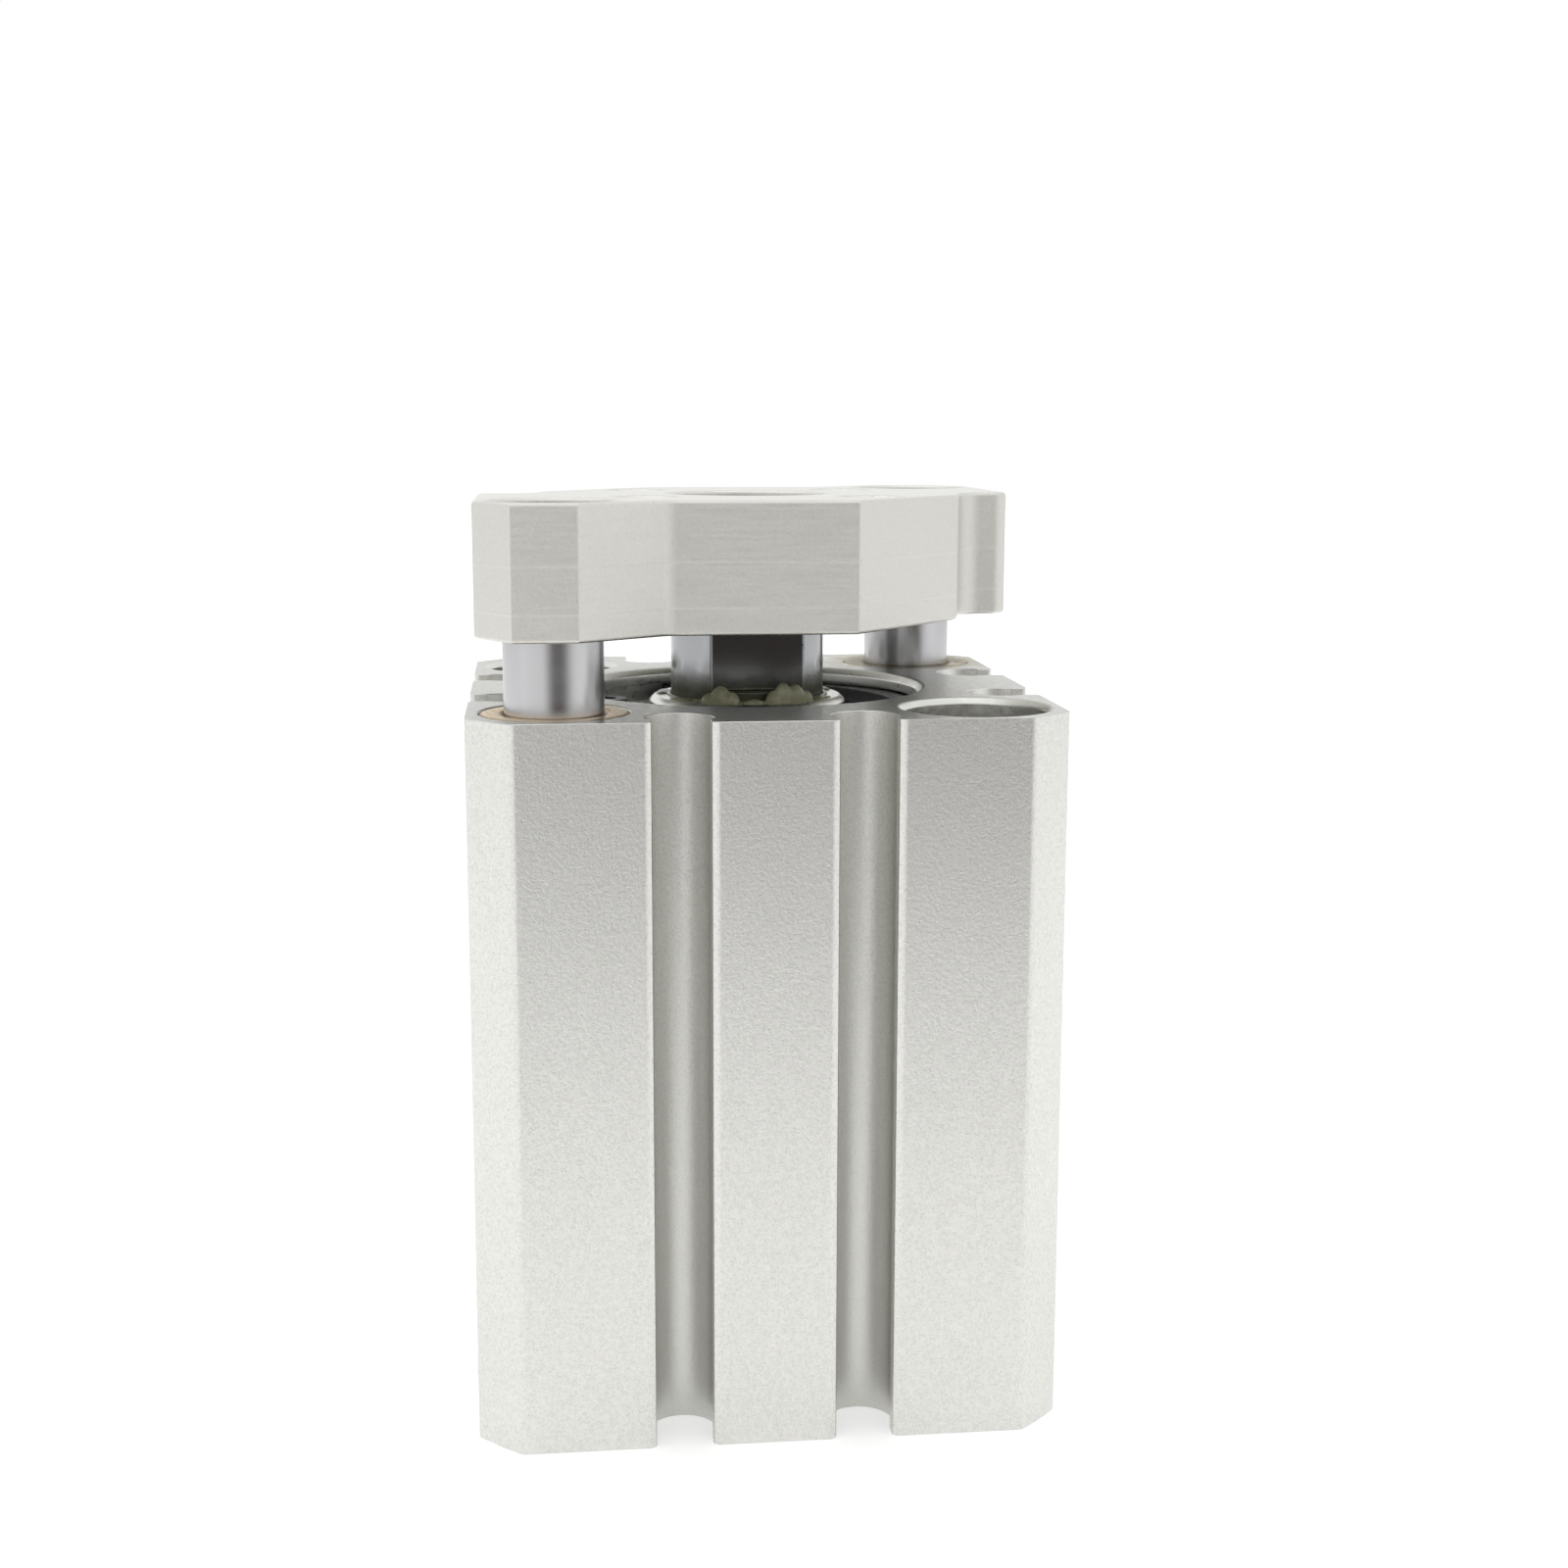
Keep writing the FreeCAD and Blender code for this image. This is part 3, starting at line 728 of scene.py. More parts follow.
class Growth:
    """A geometry node tree with named inputs that grows one finished mesh."""

    def __init__(self, name, inputs):
        self.tree = bpy.data.node_groups.new(name, "GeometryNodeTree")
        interface = self.tree.interface
        interface.new_socket("Geometry", in_out="OUTPUT", socket_type="NodeSocketGeometry")
        self.names = {}
        for label, value in inputs.items():
            kind = "NodeSocketInt" if isinstance(value, int) else "NodeSocketFloat"
            socket = interface.new_socket(label, in_out="INPUT", socket_type=kind)
            socket.default_value = value
            self.names[label] = socket.identifier
        outputs = put(self.tree, "NodeGroupInput").outputs
        self.given = {label: Number(self.tree, outputs[label]) for label in inputs}

    def node(self, kind, given=None, **attributes):
        """A node's first result."""
        return put(self.tree, kind, given, **attributes).outputs[0]

    def moved(self, geometry, **offset):
        """The geometry moved along the axes that are named."""
        return self.node("GeometryNodeTransform", {
            "Geometry": geometry, "Translation": self.node("ShaderNodeCombineXYZ", offset)})

    def array(self, geometry):
        """The geometry repeated in Columns and Rows about the middle, at their spacings."""
        for count, spacing, axis in (
                ("Columns", "Column Spacing", "X"), ("Rows", "Row Spacing", "Y")):
            number, step = self.given[count], self.given[spacing]
            first = self.node("ShaderNodeCombineXYZ", {axis: (number - 1.0) * -0.5 * step})
            offset = self.node("ShaderNodeCombineXYZ", {axis: step})
            line = self.node("GeometryNodeMeshLine", {
                "Count": number, "Start Location": first, "Offset": offset})
            copies = self.node("GeometryNodeInstanceOnPoints", {
                "Points": line, "Instance": geometry})
            geometry = self.node("GeometryNodeRealizeInstances", {0: copies})
        return geometry

    def end(self, geometry, material):
        """Closes the tree: instances made real, then the finish."""
        real = self.node("GeometryNodeRealizeInstances", {0: geometry})
        painted = self.node("GeometryNodeSetMaterial", {"Geometry": real, "Material": material})
        put(self.tree, "NodeGroupOutput", {0: painted})

    def grow(self, name, values, place):
        """An object with the tree's result as plain mesh, taken to place. Values are in mm."""
        o = link(name, bpy.data.meshes.new(name))
        modifier = o.modifiers.new(name, "NODES")
        modifier.node_group = self.tree
        for label, value in values.items():
            modifier[self.names[label]] = value
        settle(o)
        o.data.transform(place @ Matrix.Scale(MM, 4))
        return o


PROFILE_TURN = math.radians(-90)            # lays the thread's profile over, so its crest faces in
CREST_SHARE, FOOT_SHARE = 0.16, 0.90        # widths of the ridge, as shares of the pitch
FOOT_SUNK = 0.04                            # by which the ridge's foot goes into the wall
ARRAY_INPUTS = {"Columns": 1, "Rows": 1, "Column Spacing": 1.0, "Row Spacing": 1.0}


def thread_growth(material):
    """A thread's ridge: a flat-topped coil that winds down a hole and runs out at its ends."""
    growth = Growth("thread_ridge", {
        "Major Diameter": 5.0, "Minor Diameter": 4.2, "Pitch": 0.8, "Depth": 5.0,
        "Points per Turn": 40, **ARRAY_INPUTS})
    g, node = growth.given, growth.node
    height = (g["Major Diameter"] - g["Minor Diameter"]) * 0.5
    middle = g["Major Diameter"] * 0.5 - height * 0.5
    turns = g["Depth"] / g["Pitch"]
    coil = node("GeometryNodeCurveSpiral", {
        "Resolution": g["Points per Turn"], "Rotations": turns, "Start Radius": middle,
        "End Radius": middle, "Height": g["Depth"]})

    along = Number(growth.tree, node("GeometryNodeSplineParameter"))
    from_end = maths("MINIMUM", along, 1.0 - along)
    fullness = maths("ADD", from_end * turns * 2.0, 0.06, clamp=True)
    sideways = node("ShaderNodeVectorMath", {0: node("GeometryNodeInputPosition"), 1: (1, 1, 0)},
                    operation="MULTIPLY")
    outwards = node("ShaderNodeVectorMath", {0: sideways}, operation="NORMALIZE")
    spared = node("ShaderNodeVectorMath", {0: outwards, "Scale": (1.0 - fullness) * (height * 0.5)},
                  operation="SCALE")
    run_out = node("GeometryNodeSetPosition", {"Geometry": coil, "Offset": spared})
    upright = node("GeometryNodeSetCurveNormal", {"Curve": run_out}, mode="Z_UP")

    crest = node("GeometryNodeCurvePrimitiveQuadrilateral", {
        "Bottom Width": g["Pitch"] * CREST_SHARE, "Top Width": g["Pitch"] * FOOT_SHARE,
        "Height": height + FOOT_SUNK, "Offset": 0.0}, mode="TRAPEZOID")
    on_side = node("GeometryNodeTransform", {"Geometry": crest, "Rotation": (0, 0, PROFILE_TURN)})
    ridge = node("GeometryNodeCurveToMesh", {
        "Curve": upright, "Profile Curve": on_side, "Scale": fullness, "Fill Caps": True})
    growth.end(growth.array(growth.moved(ridge, Z=g["Depth"] * -1.0)), material)
    return growth


def screw_growth(material):
    """A socket head cap screw: knurled head with a rounded brim, hexagon socket and plain shank."""
    growth = Growth("cap_screw", {
        "Head Diameter": 7.0, "Head Height": 4.0, "Socket": 3.0, "Socket Depth": 2.0,
        "Shank Diameter": 3.3, "Shank Length": 8.0, "Knurls": 36, "Knurl Depth": 0.1,
        **ARRAY_INPUTS})
    tree, g, node = growth.tree, growth.given, growth.node
    radius = g["Head Diameter"] * 0.5
    head = node("GeometryNodeMeshCylinder", {
        "Vertices": g["Knurls"] * 4.0, "Side Segments": 10, "Fill Segments": 1, "Radius": radius,
        "Depth": g["Head Height"]}, fill_type="NGON")

    x, y, z = parts(tree, node("GeometryNodeInputPosition"))
    level = z / g["Head Height"] + 0.5
    wave = maths("COSINE", maths("ARCTAN2", y, x) * g["Knurls"]) * 0.5 + 0.5
    band = maths("GREATER_THAN", level, 0.15) * maths("LESS_THAN", level, 0.85)
    groove = wave * band * g["Knurl Depth"]
    brim = maths("GREATER_THAN", level, 0.95) * (g["Head Height"] * 0.09)
    under = maths("LESS_THAN", level, 0.05) * 0.08
    scale = 1.0 - (groove + (brim + under)) / radius
    drawn_in = node("ShaderNodeCombineXYZ", {"X": x * scale, "Y": y * scale, "Z": z})
    shaped = node("GeometryNodeSetPosition", {"Geometry": head, "Position": drawn_in})

    top = g["Head Height"] * 0.5
    socket = node("GeometryNodeMeshCylinder", {
        "Vertices": 6, "Radius": g["Socket"] / math.sqrt(3.0), "Depth": g["Socket Depth"] * 2.0},
        fill_type="NGON")
    drill = node("GeometryNodeMeshCone", {
        "Vertices": 24, "Radius Top": g["Socket"] * 0.49, "Radius Bottom": 0.02,
        "Depth": g["Socket"] * 0.28}, fill_type="NGON")
    hollow = put(tree, "GeometryNodeMeshBoolean", {
        "Mesh 1": shaped, "Mesh 2": growth.moved(socket, Z=top)},
        operation="DIFFERENCE", solver="EXACT")
    drilled = growth.moved(drill, Z=top - g["Socket Depth"] - g["Socket"] * 0.27)
    tree.links.new(drilled, hollow.inputs["Mesh 2"])

    shank = node("GeometryNodeMeshCylinder", {
        "Vertices": 48, "Radius": g["Shank Diameter"] * 0.5, "Depth": g["Shank Length"]},
        fill_type="NGON")
    whole = put(tree, "GeometryNodeJoinGeometry", {0: hollow.outputs[0]})
    hung = growth.moved(shank, Z=(g["Shank Length"] + g["Head Height"]) * -0.5)
    tree.links.new(hung, whole.inputs[0])
    seated = growth.moved(whole.outputs[0], Z=g["Head Height"] * -0.5)
    growth.end(growth.array(seated), material)
    return growth


# ---- pieces ------------------------------------------------------------------------------------

def in_a_hole(middle, reach):
    """Whether a point stands within reach of one of the four corner holes, in millimetres."""
    return any(math.hypot(abs(middle.x) - abs(rod.x), abs(middle.y) - abs(rod.y)) < reach
               for rod in (FRONT_ROD, REAR_ROD))


def tap(bm, place, axis, bore, rim, root, mouth, deep):
    """Opens a tapping-size hole of radius bore, drilled from place along -axis, to the radius root
    of a thread, with a countersink out to the radius mouth. rim is the hole's radius at its face,
    and deep is how far in it reaches. All are in millimetres."""
    out, centre = Vector(axis), Vector(place)
    for v in bm.verts:
        at = v.co / MM - centre
        level = at.dot(out)
        across = at - out * level
        radius = across.length
        if bore - 0.02 < radius < rim + 0.02 and -deep < level < 0.01:
            slope = (radius - bore) / (rim - bore) if rim > bore else 0.0
            if level > -1.0:
                level = (mouth - root) * (slope - 1.0)
            wider = (root + (mouth - root) * slope) / radius
            v.co = (centre + across * wider + out * level) * MM


class CYLINDER_OT_tube(bpy.types.Operator):
    """Dress the extruded tube with rounded edges and its blasted finish"""

    bl_idname = "cylinder.tube"
    bl_label = "Dress Tube"

    def execute(self, context):
        s = sizes()
        bm = merged_copy("cylinder_tube")
        drilled = MOUNTS["head_air_port"]["dims"]["r_mm"]
        root = s.port_major / 2
        ports = []
        for name in ("head_air_port", "rod_air_port"):
            x, _, z = MOUNTS[name]["pos_m"]
            ports.append(Vector((x / MM, TUBE_HIGH.y / MM, z / MM)))
            tap(bm, ports[-1], (0, 1, 0), drilled, PORT_RIM,
                root, root + PORT_COUNTERSINK, PORT_REACH)

        def radius_of(middle, direction):
            outermost = max(abs(middle.x), abs(middle.y))
            if any((middle - port).length < root + 1.0 for port in ports):
                return s.tube_end_radius
            if abs(direction.z) > 0.99 and outermost > TUBE_SIDE - 0.05:
                return s.tube_corner_radius
            if direction.z ** 2 < 0.01 and min(abs(middle.z), abs(TUBE_TOP - middle.z)) < 0.01:
                on_outline = (outermost > TUBE_SIDE - OUTLINE_BAND
                              or middle.xy.length > TUBE_SIDE + CORNER_OUT)
                if not on_outline or in_a_hole(middle, HOLE_EDGE_REACH):
                    return s.hole_edge_radius
            return s.tube_end_radius

        def material_of(centre, normal):
            if abs(normal.z) > 0.99 and (centre.z > TUBE_TOP - 0.02 or centre.z < 0.02):
                return 1
            in_a_port = abs(normal.y) < 0.95 and any(
                (centre - port).xz.length < root + 0.5 for port in ports)
            in_the_bore = max(abs(centre.x), abs(centre.y)) < TUBE_SIDE - WALL_BAND
            return 2 if in_the_bore or in_a_port or in_a_hole(centre, HOLE_WALL_REACH) else 0

        o = dressed("tube_body", bm, (
            "anodised_body", "anodised_body_faced_end", "anodised_body_bored"),
            radius_of, material_of)
        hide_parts("cylinder_tube")
        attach(o, "housing")
        return {"FINISHED"}


class CYLINDER_OT_plate(bpy.types.Operator):
    """Dress the end plate with its bevels, cutter lines and faced surfaces"""

    bl_idname = "cylinder.plate"
    bl_label = "Dress End Plate"

    def execute(self, context):
        s = sizes()
        bm = merged_copy("end_plate")
        holes = MOUNTS["tool_holes"]["dims"]
        across, along = holes["spacing_x_mm"] / 2, holes["spacing_y_mm"] / 2
        drilled, root = holes["hole_r_mm"], s.tool_major / 2
        for x in (-across, across):
            for y in (-along, along):
                for z, axis in ((PLATE_TOP, (0, 0, 1)), (PLATE_BOTTOM, (0, 0, -1))):
                    tap(bm, (x, y, z), axis, drilled, drilled, root, root, 0.05)

        def radius_of(middle, direction):
            if math.hypot(abs(middle.x) - across, abs(middle.y) - along) < root + 0.5:
                return TOOL_HOLE_EDGE
            return s.plate_edge_radius if abs(direction.z) < 0.5 else PLATE_CORNER

        def material_of(centre, normal):
            return 1 if abs(normal.z) > 0.99 else 0

        o = dressed("plate", bm, ("milled_plate", "milled_plate_face"), radius_of, material_of)
        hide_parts("end_plate")
        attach(o, "carriage")
        return {"FINISHED"}


class CYLINDER_OT_threads(bpy.types.Operator):
    """Wind the threads in the two air ports and in the plate's four tool holes"""

    bl_idname = "cylinder.threads"
    bl_label = "Wind Threads"

    def execute(self, context):
        s = sizes()
        low, high = (Vector(MOUNTS[n]["pos_m"]) for n in ("head_air_port", "rod_air_port"))
        middle = (low + high) / 2
        middle.y = TUBE_HIGH.y
        start = middle - Vector((0, PORT_THREAD_START * MM, 0))
        port = MOUNTS["head_air_port"]["dims"]
        ports = thread_growth(finish("anodised_body_bored")).grow("port_threads", {
            "Major Diameter": s.port_major, "Minor Diameter": 2 * port["r_mm"],
            "Pitch": s.port_pitch, "Depth": port["length_mm"] - PORT_THREAD_SHORT,
            "Columns": 1, "Rows": 2, "Row Spacing": (high - low).z / MM},
            facing((0, 1, 0), start))
        shaded(ports)
        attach(ports, "housing")

        holes = MOUNTS["tool_holes"]["dims"]
        start = Vector(MOUNTS["tool_holes"]["pos_m"]) - Vector((0, 0, TOOL_THREAD_MARGIN * MM))
        tools = thread_growth(finish("milled_plate_face")).grow("tool_hole_threads", {
            "Major Diameter": s.tool_major, "Minor Diameter": 2 * holes["hole_r_mm"],
            "Pitch": s.tool_pitch, "Depth": PLATE_THICK - 2 * TOOL_THREAD_MARGIN,
            "Columns": 2, "Rows": 2, "Column Spacing": holes["spacing_x_mm"],
            "Row Spacing": holes["spacing_y_mm"]}, facing((0, 0, 1), start))
        shaded(tools)
        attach(tools, "carriage")
        return {"FINISHED"}


class CYLINDER_OT_screws(bpy.types.Operator):
    """Drive the three socket screws into their counterbores in the plate"""

    bl_idname = "cylinder.screws"
    bl_label = "Drive Screws"

    def execute(self, context):
        s = sizes()
        growth = screw_growth(finish("screw_steel"))
        for node, socket, shank, knurls in (
                ("centre_screw", CENTRE_SOCKET, CENTRE_SHANK, s.knurls + EXTRA_KNURLS),
                ("guide_rod_screw_front", GUIDE_SOCKET, GUIDE_SHANK, s.knurls),
                ("guide_rod_screw_rear", GUIDE_SOCKET, GUIDE_SHANK, s.knurls)):
            low, high = (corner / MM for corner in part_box(node))
            top = Vector(((low.x + high.x) / 2, (low.y + high.y) / 2, high.z))
            o = growth.grow(node + "_detailed", {
                "Head Diameter": high.x - low.x - HEAD_CLEARANCE, "Head Height": SCREW_HEAD,
                "Socket": socket, "Socket Depth": SCREW_HEAD * 0.55, "Shank Diameter": shank,
                "Shank Length": high.z - low.z - SCREW_HEAD, "Knurls": knurls,
                "Knurl Depth": s.knurl_depth}, Matrix.Translation(top * MM))
            shaded(o, 24.0)
            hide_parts(node)
            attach(o, "carriage")
        return {"FINISHED"}


class CYLINDER_OT_bushes(bpy.types.Operator):
    """Turn the two upper guide bushes, with eased edges that leave a fine dark seam round them"""

    bl_idname = "cylinder.bushes"
    bl_label = "Turn Bushes"

    def execute(self, context):
        ease = sizes().hole_edge_radius
        inner, lead, below_face, rounding = GUIDE_RADIUS + 0.02, 0.30, 0.03, 0.05
        for node in ("guide_bush_front_upper", "guide_bush_rear_upper"):
            low, high = (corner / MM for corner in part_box(node))
            x, y = (low.x + high.x) / 2, (low.y + high.y) / 2
            top = high.z - below_face
            bm = lathe([(inner, low.z), (BUSH_RADIUS, low.z), (BUSH_RADIUS, top - ease),
                        (BUSH_RADIUS - ease, top), (inner + lead, top), (inner, top - lead)], x, y)
            o = dressed(node + "_turned", bm, ("bronze_bush",), lambda middle, direction: rounding,
                        steps=2)
            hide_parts(node)
            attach(o, "housing")
        return {"FINISHED"}


class CYLINDER_OT_turned_parts(bpy.types.Operator):
    """Ease the edges of the piston rod, the rod cover and the retaining ring"""

    bl_idname = "cylinder.turned_parts"
    bl_label = "Ease Turned Parts"

    def execute(self, context):
        ease = sizes().turned_edge_radius
        for node, name, material, body, radius in (
                ("piston_rod", "rod", "chromed_rod_oiled", "carriage", ease),
                ("rod_cover", "cover", "turned_cover", "housing", ease),
                ("retaining_ring", "snap_ring", "blackened_ring", "housing", ease * 0.7)):
            o = dressed(name, merged_copy(node), (material,), lambda middle, direction, r=radius: r)
            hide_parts(node)
            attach(o, body)
        return {"FINISHED"}


# lumps of grease at the rod's foot: bearing in degrees, distance from the axis, spread round it,
# spread out from it and height, in millimetres
GREASE_LUMPS = (
    (247.0, 5.56, 0.74, 0.54, 1.12), (254.0, 5.60, 0.62, 0.48, 0.75),
    (240.0, 5.60, 0.66, 0.48, 0.62), (282.0, 5.60, 0.55, 0.45, 0.80),
    (289.0, 5.52, 0.70, 0.46, 1.30), (298.0, 5.56, 0.75, 0.46, 1.15),
    (306.0, 5.60, 0.60, 0.44, 0.70), (269.0, 5.60, 0.70, 0.40, 0.28),
    (214.0, 5.55, 1.10, 0.40, 0.13), (168.0, 5.55, 1.30, 0.45, 0.16),
    (118.0, 5.60, 1.20, 0.40, 0.46), (62.0, 5.60, 1.00, 0.40, 0.52),
    (22.0, 5.55, 1.20, 0.40, 0.16), (326.0, 5.55, 1.00, 0.40, 0.13),
)
GREASE_DRAWN_FOR = 0.8                      # the grease height at which these heights hold
GREASE_VOXEL = 0.09 * MM


class CYLINDER_OT_grease(bpy.types.Operator):
    """Lay the bead and the lumps of grease that the piston rod has wiped onto the cover's boss"""

    bl_idname = "cylinder.grease"
    bl_label = "Lay Grease"

    def execute(self, context):
        scale = sizes().grease_height / GREASE_DRAWN_FOR
        inner = ROD_RADIUS + 0.03
        foot = COVER_TOP - 0.05
        bm = lathe([(inner, foot), (inner + 0.32, foot),
                    (inner + 0.25, COVER_TOP + 0.09), (inner, COVER_TOP + 0.16)])
        for bearing, away, spread, out, height in GREASE_LUMPS:
            turn = Matrix.Rotation(math.radians(bearing), 4, "Z")
            place = turn @ Matrix.Translation(Vector((away, 0.0, COVER_TOP + 0.02)) * MM)
            size = Matrix.Diagonal((out * MM, spread * MM, height * scale * MM, 1.0))
            bmesh.ops.create_icosphere(bm, subdivisions=3, radius=1.0, matrix=place @ size)
        mesh = bpy.data.meshes.new("rod_grease")
        bm.to_mesh(mesh)
        bm.free()
        mesh.materials.append(finish("rod_grease"))
        o = link("rod_grease", mesh)
        melt = o.modifiers.new("melt", "REMESH")
        melt.mode = "VOXEL"
        melt.voxel_size = GREASE_VOXEL
        melt.use_smooth_shade = True
        relax = o.modifiers.new("relax", "SMOOTH")
        relax.factor = 0.6
        relax.iterations = 3
        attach(shaded(settle(o), 75.0), "housing")
        return {"FINISHED"}


INNER_FINISH = {
    "piston": "piston_alloy", "piston_seal": "rubber_seal", "magnet": "magnet_ring",
    "rod_cover_o_ring": "rubber_seal", "rod_seal": "rubber_seal",
    "rod_side_bumper": "urethane_bumper", "head_bumper": "urethane_bumper",
    "guide_bush_front_lower": "bronze_bush", "guide_bush_rear_lower": "bronze_bush",
    "guide_rod_front": "chromed_rod", "guide_rod_rear": "chromed_rod",
}


class CYLINDER_OT_inner_parts(bpy.types.Operator):
    """Give the guide rods and the parts inside the tube their finishes"""

    bl_idname = "cylinder.inner_parts"
    bl_label = "Finish Inner Parts"

    def execute(self, context):
        for node, material in INNER_FINISH.items():
            for slot in NODES[node].material_slots:
                slot.material = finish(material)
        return {"FINISHED"}


# ---- studio ------------------------------------------------------------------------------------

WHITE = (1.0, 1.0, 1.0)
OPENING_X, OPENING_Z = 0.17, -0.08          # direction in which the room's dim opening lies
OPENING_WIDE, OPENING_HIGH = 0.64, 0.50     # its half width and half height, as directions
OPENING_COLOUR = (0.084, 0.071, 0.066)
FLOOR_WIDE, FLOOR_FRONT, FLOOR_BACK = 1.2, -0.16, 1.4
FLOOR_GLOW = 0.46                           # what makes lit paper white
DUSK_FROM, DUSK_TO = 300.0, 1000.0          # radii in mm between which mirrored paper darkens
DUSK_SHADE, DUSK_GLOW = 0.42, 0.75
SOFTBOX_SIDE, SOFTBOX_PLACE, SOFTBOX_AIM = 0.8, (-0.12, 0.08, 0.7), (0, 0, 0.03)


def softbox(name, side, power, place, aim):
    """A square lamp at place that faces aim, in metres."""
    lamp = bpy.data.lights.new(name, "AREA")
    lamp.shape = "RECTANGLE"
    lamp.size = lamp.size_y = side
    lamp.energy = power
    o = link(name, lamp)
    o.location = place
    o.rotation_euler = (Vector(aim) - Vector(place)).to_track_quat("-Z", "Y").to_euler()


def studio_world():
    """An even white room with a dim opening towards the front, which polished metal mirrors."""
    world = bpy.data.worlds.new("studio_room")
    bpy.context.scene.world = world
    world.use_nodes = True
    world.cycles.sampling_method = "NONE"
    tree = world.node_tree
    tree.nodes.clear()
    path = put(tree, "ShaderNodeLightPath").outputs
    x, y, z = parts(tree, put(tree, "ShaderNodeTexCoord").outputs["Generated"])
    across = (x - OPENING_X) / OPENING_WIDE
    up = (z - OPENING_Z) / OPENING_HIGH
    away = maths("SQRT", across * across + up * up)
    dim = remap(away, 1.0, 0.25) * remap(y, 0.0, -0.2)

    def background(colour, strength):
        given = {"Color": colour, "Strength": strength}
        return put(tree, "ShaderNodeBackground", given).outputs[0]

    sky = background(WHITE, studio().sky_level)
    mirrored = background(mix(dim, WHITE, OPENING_COLOUR), 1.0)
    seen = background(WHITE, 1.0)
    lit = put(tree, "ShaderNodeMixShader", {0: path["Is Glossy Ray"], 1: sky, 2: mirrored})
    clear = maths("MAXIMUM", Number(tree, path["Is Camera Ray"]), path["Is Transmission Ray"])
    both = put(tree, "ShaderNodeMixShader", {0: clear, 1: lit.outputs[0], 2: seen})
    put(tree, "ShaderNodeOutputWorld", {"Surface": both.outputs[0]})


def floor_paper():
    """Pale paper that reads as white where it is lit and keeps the shadow under the object."""
    colour = tuple(studio().floor_colour)
    m = Finish("floor_paper", colour, 0.9, 0.0)
    path = put(m.tree, "ShaderNodeLightPath").outputs
    mirrored = Number(m.tree, path["Is Glossy Ray"])
    dusk = mirrored * remap(m.radius(), DUSK_FROM, DUSK_TO)
    paper = mix(m.noise(0.02, 3.0), shade(colour, 0.99), colour)
    m.colour(mix(dusk, paper, shade(colour, DUSK_SHADE)))
    seen = maths("MAXIMUM", maths("MAXIMUM", mirrored, path["Is Transmission Ray"]),
                 path["Is Camera Ray"])
    glow = put(m.tree, "ShaderNodeEmission", {"Strength": (seen - dusk * DUSK_GLOW) * FLOOR_GLOW})
    whole = put(m.tree, "ShaderNodeAddShader", {0: m.shader.outputs[0], 1: glow.outputs[0]})
    m.tree.links.new(whole.outputs[0], m.output.inputs["Surface"])
    return m.material


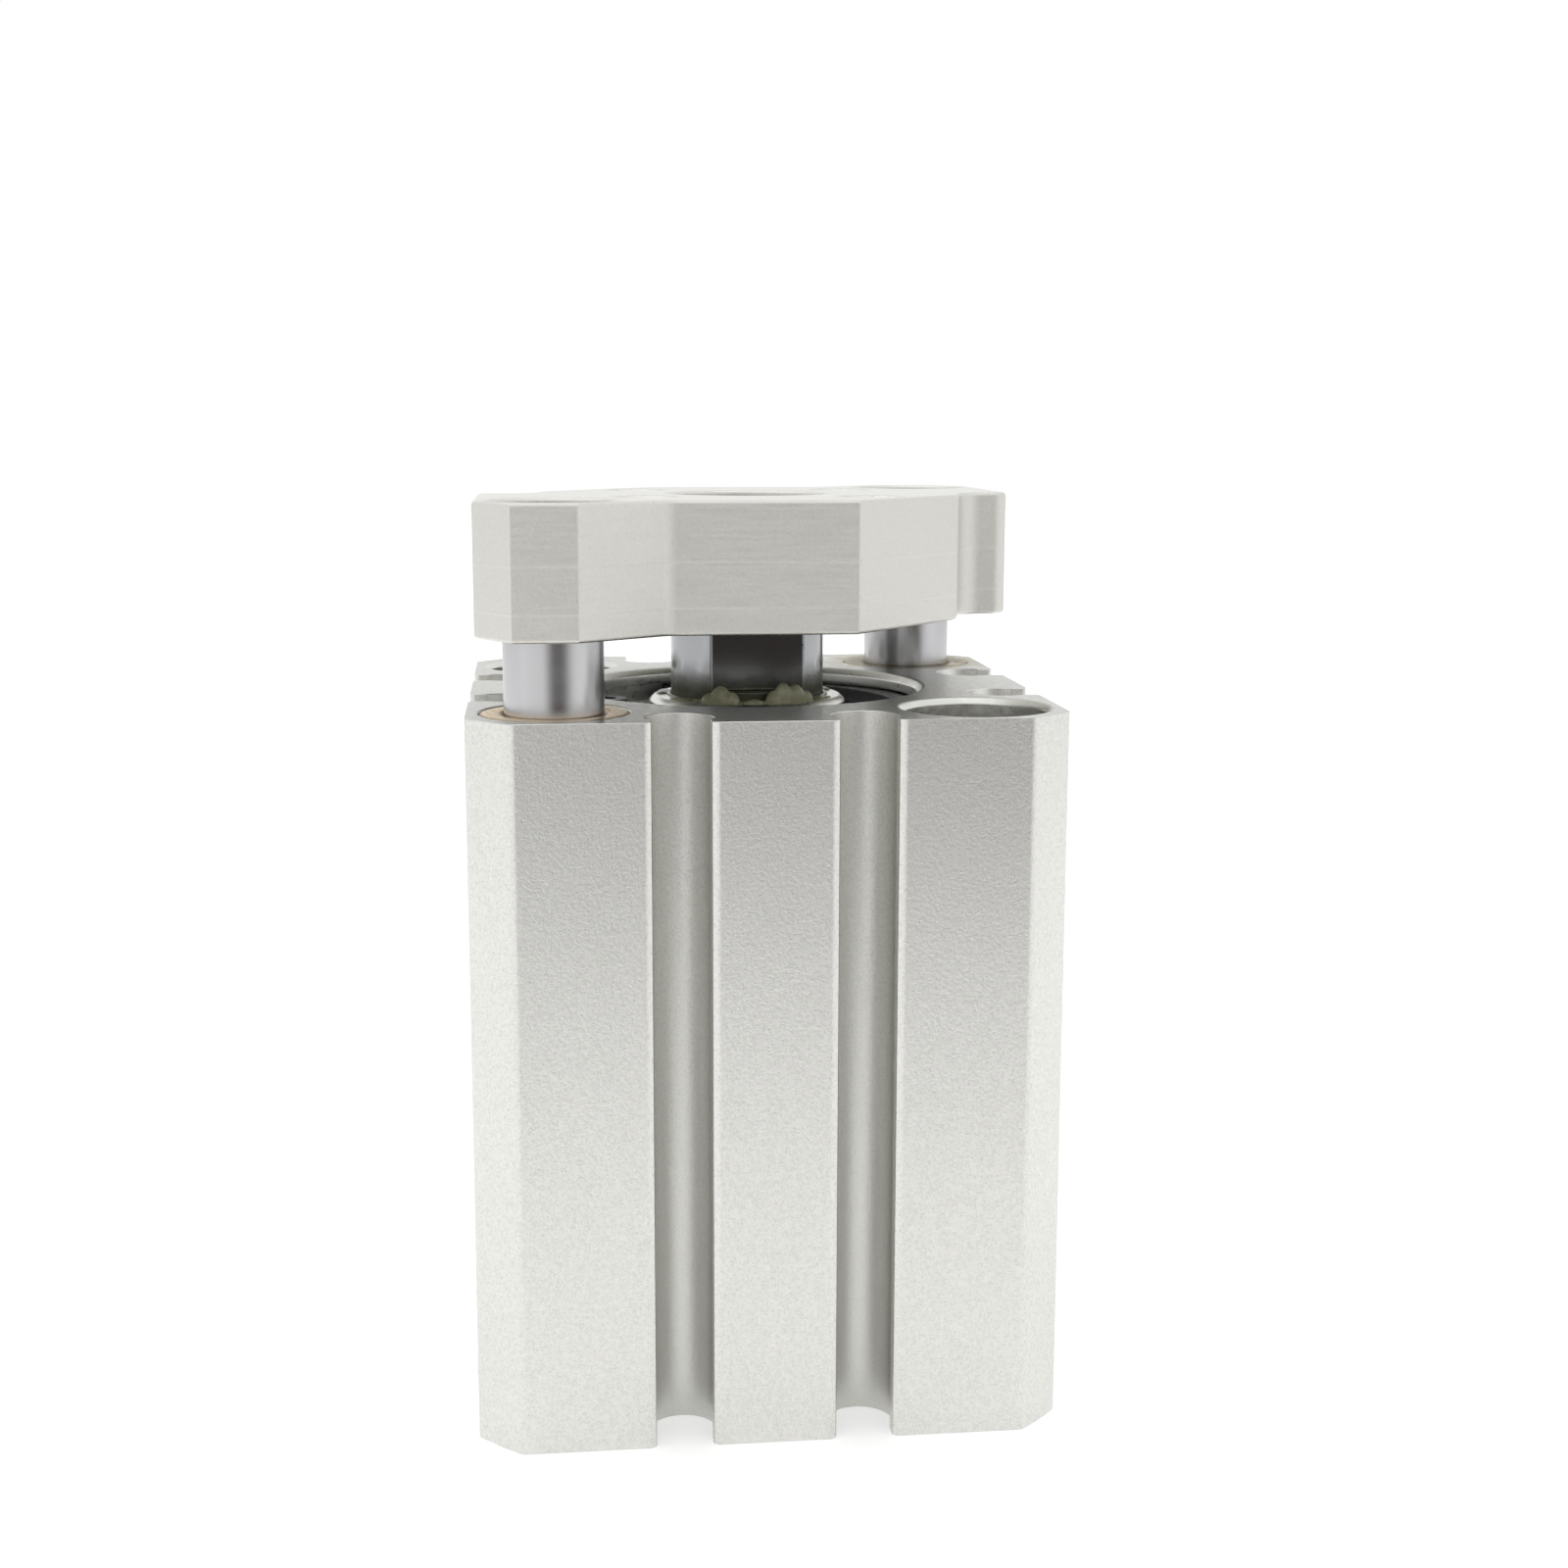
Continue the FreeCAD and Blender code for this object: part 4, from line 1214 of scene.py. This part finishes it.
class CYLINDER_OT_studio(bpy.types.Operator):
    """Set up the floor, the lamps, the white room and the camera"""

    bl_idname = "cylinder.studio"
    bl_label = "Set Up Studio"

    def execute(self, context):
        st = studio()
        bm = bmesh.new()
        bm.faces.new([bm.verts.new((x, y, 0.0)) for x, y in (
            (-FLOOR_WIDE, FLOOR_FRONT), (FLOOR_WIDE, FLOOR_FRONT),
            (FLOOR_WIDE, FLOOR_BACK), (-FLOOR_WIDE, FLOOR_BACK))])
        mesh = bpy.data.meshes.new("studio_floor")
        bm.to_mesh(mesh)
        bm.free()
        mesh.materials.append(floor_paper())
        link("studio_floor", mesh)
        studio_world()
        softbox("softbox_top", SOFTBOX_SIDE, st.softbox_level, SOFTBOX_PLACE, SOFTBOX_AIM)

        camera = bpy.data.cameras.new("camera")
        camera.lens = st.lens
        camera.sensor_width = 36.0
        camera.clip_start = 0.005
        camera.clip_end = 10.0
        o = link("camera", camera)
        yaw, pitch = st.camera_yaw, st.camera_pitch
        ahead = Vector((math.sin(yaw) * math.cos(pitch), math.cos(yaw) * math.cos(pitch),
                        -math.sin(pitch)))
        right = Vector((math.cos(yaw), -math.sin(yaw), 0.0))
        up = right.cross(ahead)
        turn = Matrix((right, up, -ahead)).transposed() @ Matrix.Rotation(st.camera_roll, 3, "Z")
        o.matrix_world = Matrix.Translation(st.camera_place) @ turn.to_4x4()
        context.scene.camera = o
        context.scene.view_settings.view_transform = "Standard"
        return {"FINISHED"}


# ---- panel and registration --------------------------------------------------------------------

OPERATORS = (
    CYLINDER_OT_tube,
    CYLINDER_OT_plate,
    CYLINDER_OT_threads,
    CYLINDER_OT_screws,
    CYLINDER_OT_bushes,
    CYLINDER_OT_turned_parts,
    CYLINDER_OT_grease,
    CYLINDER_OT_inner_parts,
    CYLINDER_OT_studio,
)


class CYLINDER_PT_sidebar(bpy.types.Panel):
    """Lists the cylinder's pieces and its studio"""

    bl_idname = "CYLINDER_PT_sidebar"
    bl_label = "Guided Cylinder"
    bl_space_type = "VIEW_3D"
    bl_region_type = "UI"
    bl_category = "Guided Cylinder"

    def draw(self, context):
        for operator in OPERATORS:
            self.layout.operator(operator.bl_idname)
        for group in (sizes(), finishes(), studio()):
            box = self.layout.box()
            for prop in group.bl_rna.properties:
                if prop.identifier not in ("rna_type", "name"):
                    box.prop(group, prop.identifier)


CLASSES = (CylinderSizes, CylinderFinishes, StudioSettings, *OPERATORS, CYLINDER_PT_sidebar)


def register():
    for c in CLASSES:
        bpy.utils.register_class(c)
    bpy.types.Scene.cylinder_sizes = PointerProperty(type=CylinderSizes)
    bpy.types.Scene.cylinder_finishes = PointerProperty(type=CylinderFinishes)
    bpy.types.Scene.cylinder_studio = PointerProperty(type=StudioSettings)


def unregister():
    del bpy.types.Scene.cylinder_sizes
    del bpy.types.Scene.cylinder_finishes
    del bpy.types.Scene.cylinder_studio
    for c in reversed(CLASSES):
        bpy.utils.unregister_class(c)


def main():
    register()
    for operator in OPERATORS:
        group, name = operator.bl_idname.split(".")
        getattr(getattr(bpy.ops, group), name)()


if __name__ == "__main__":
    main()
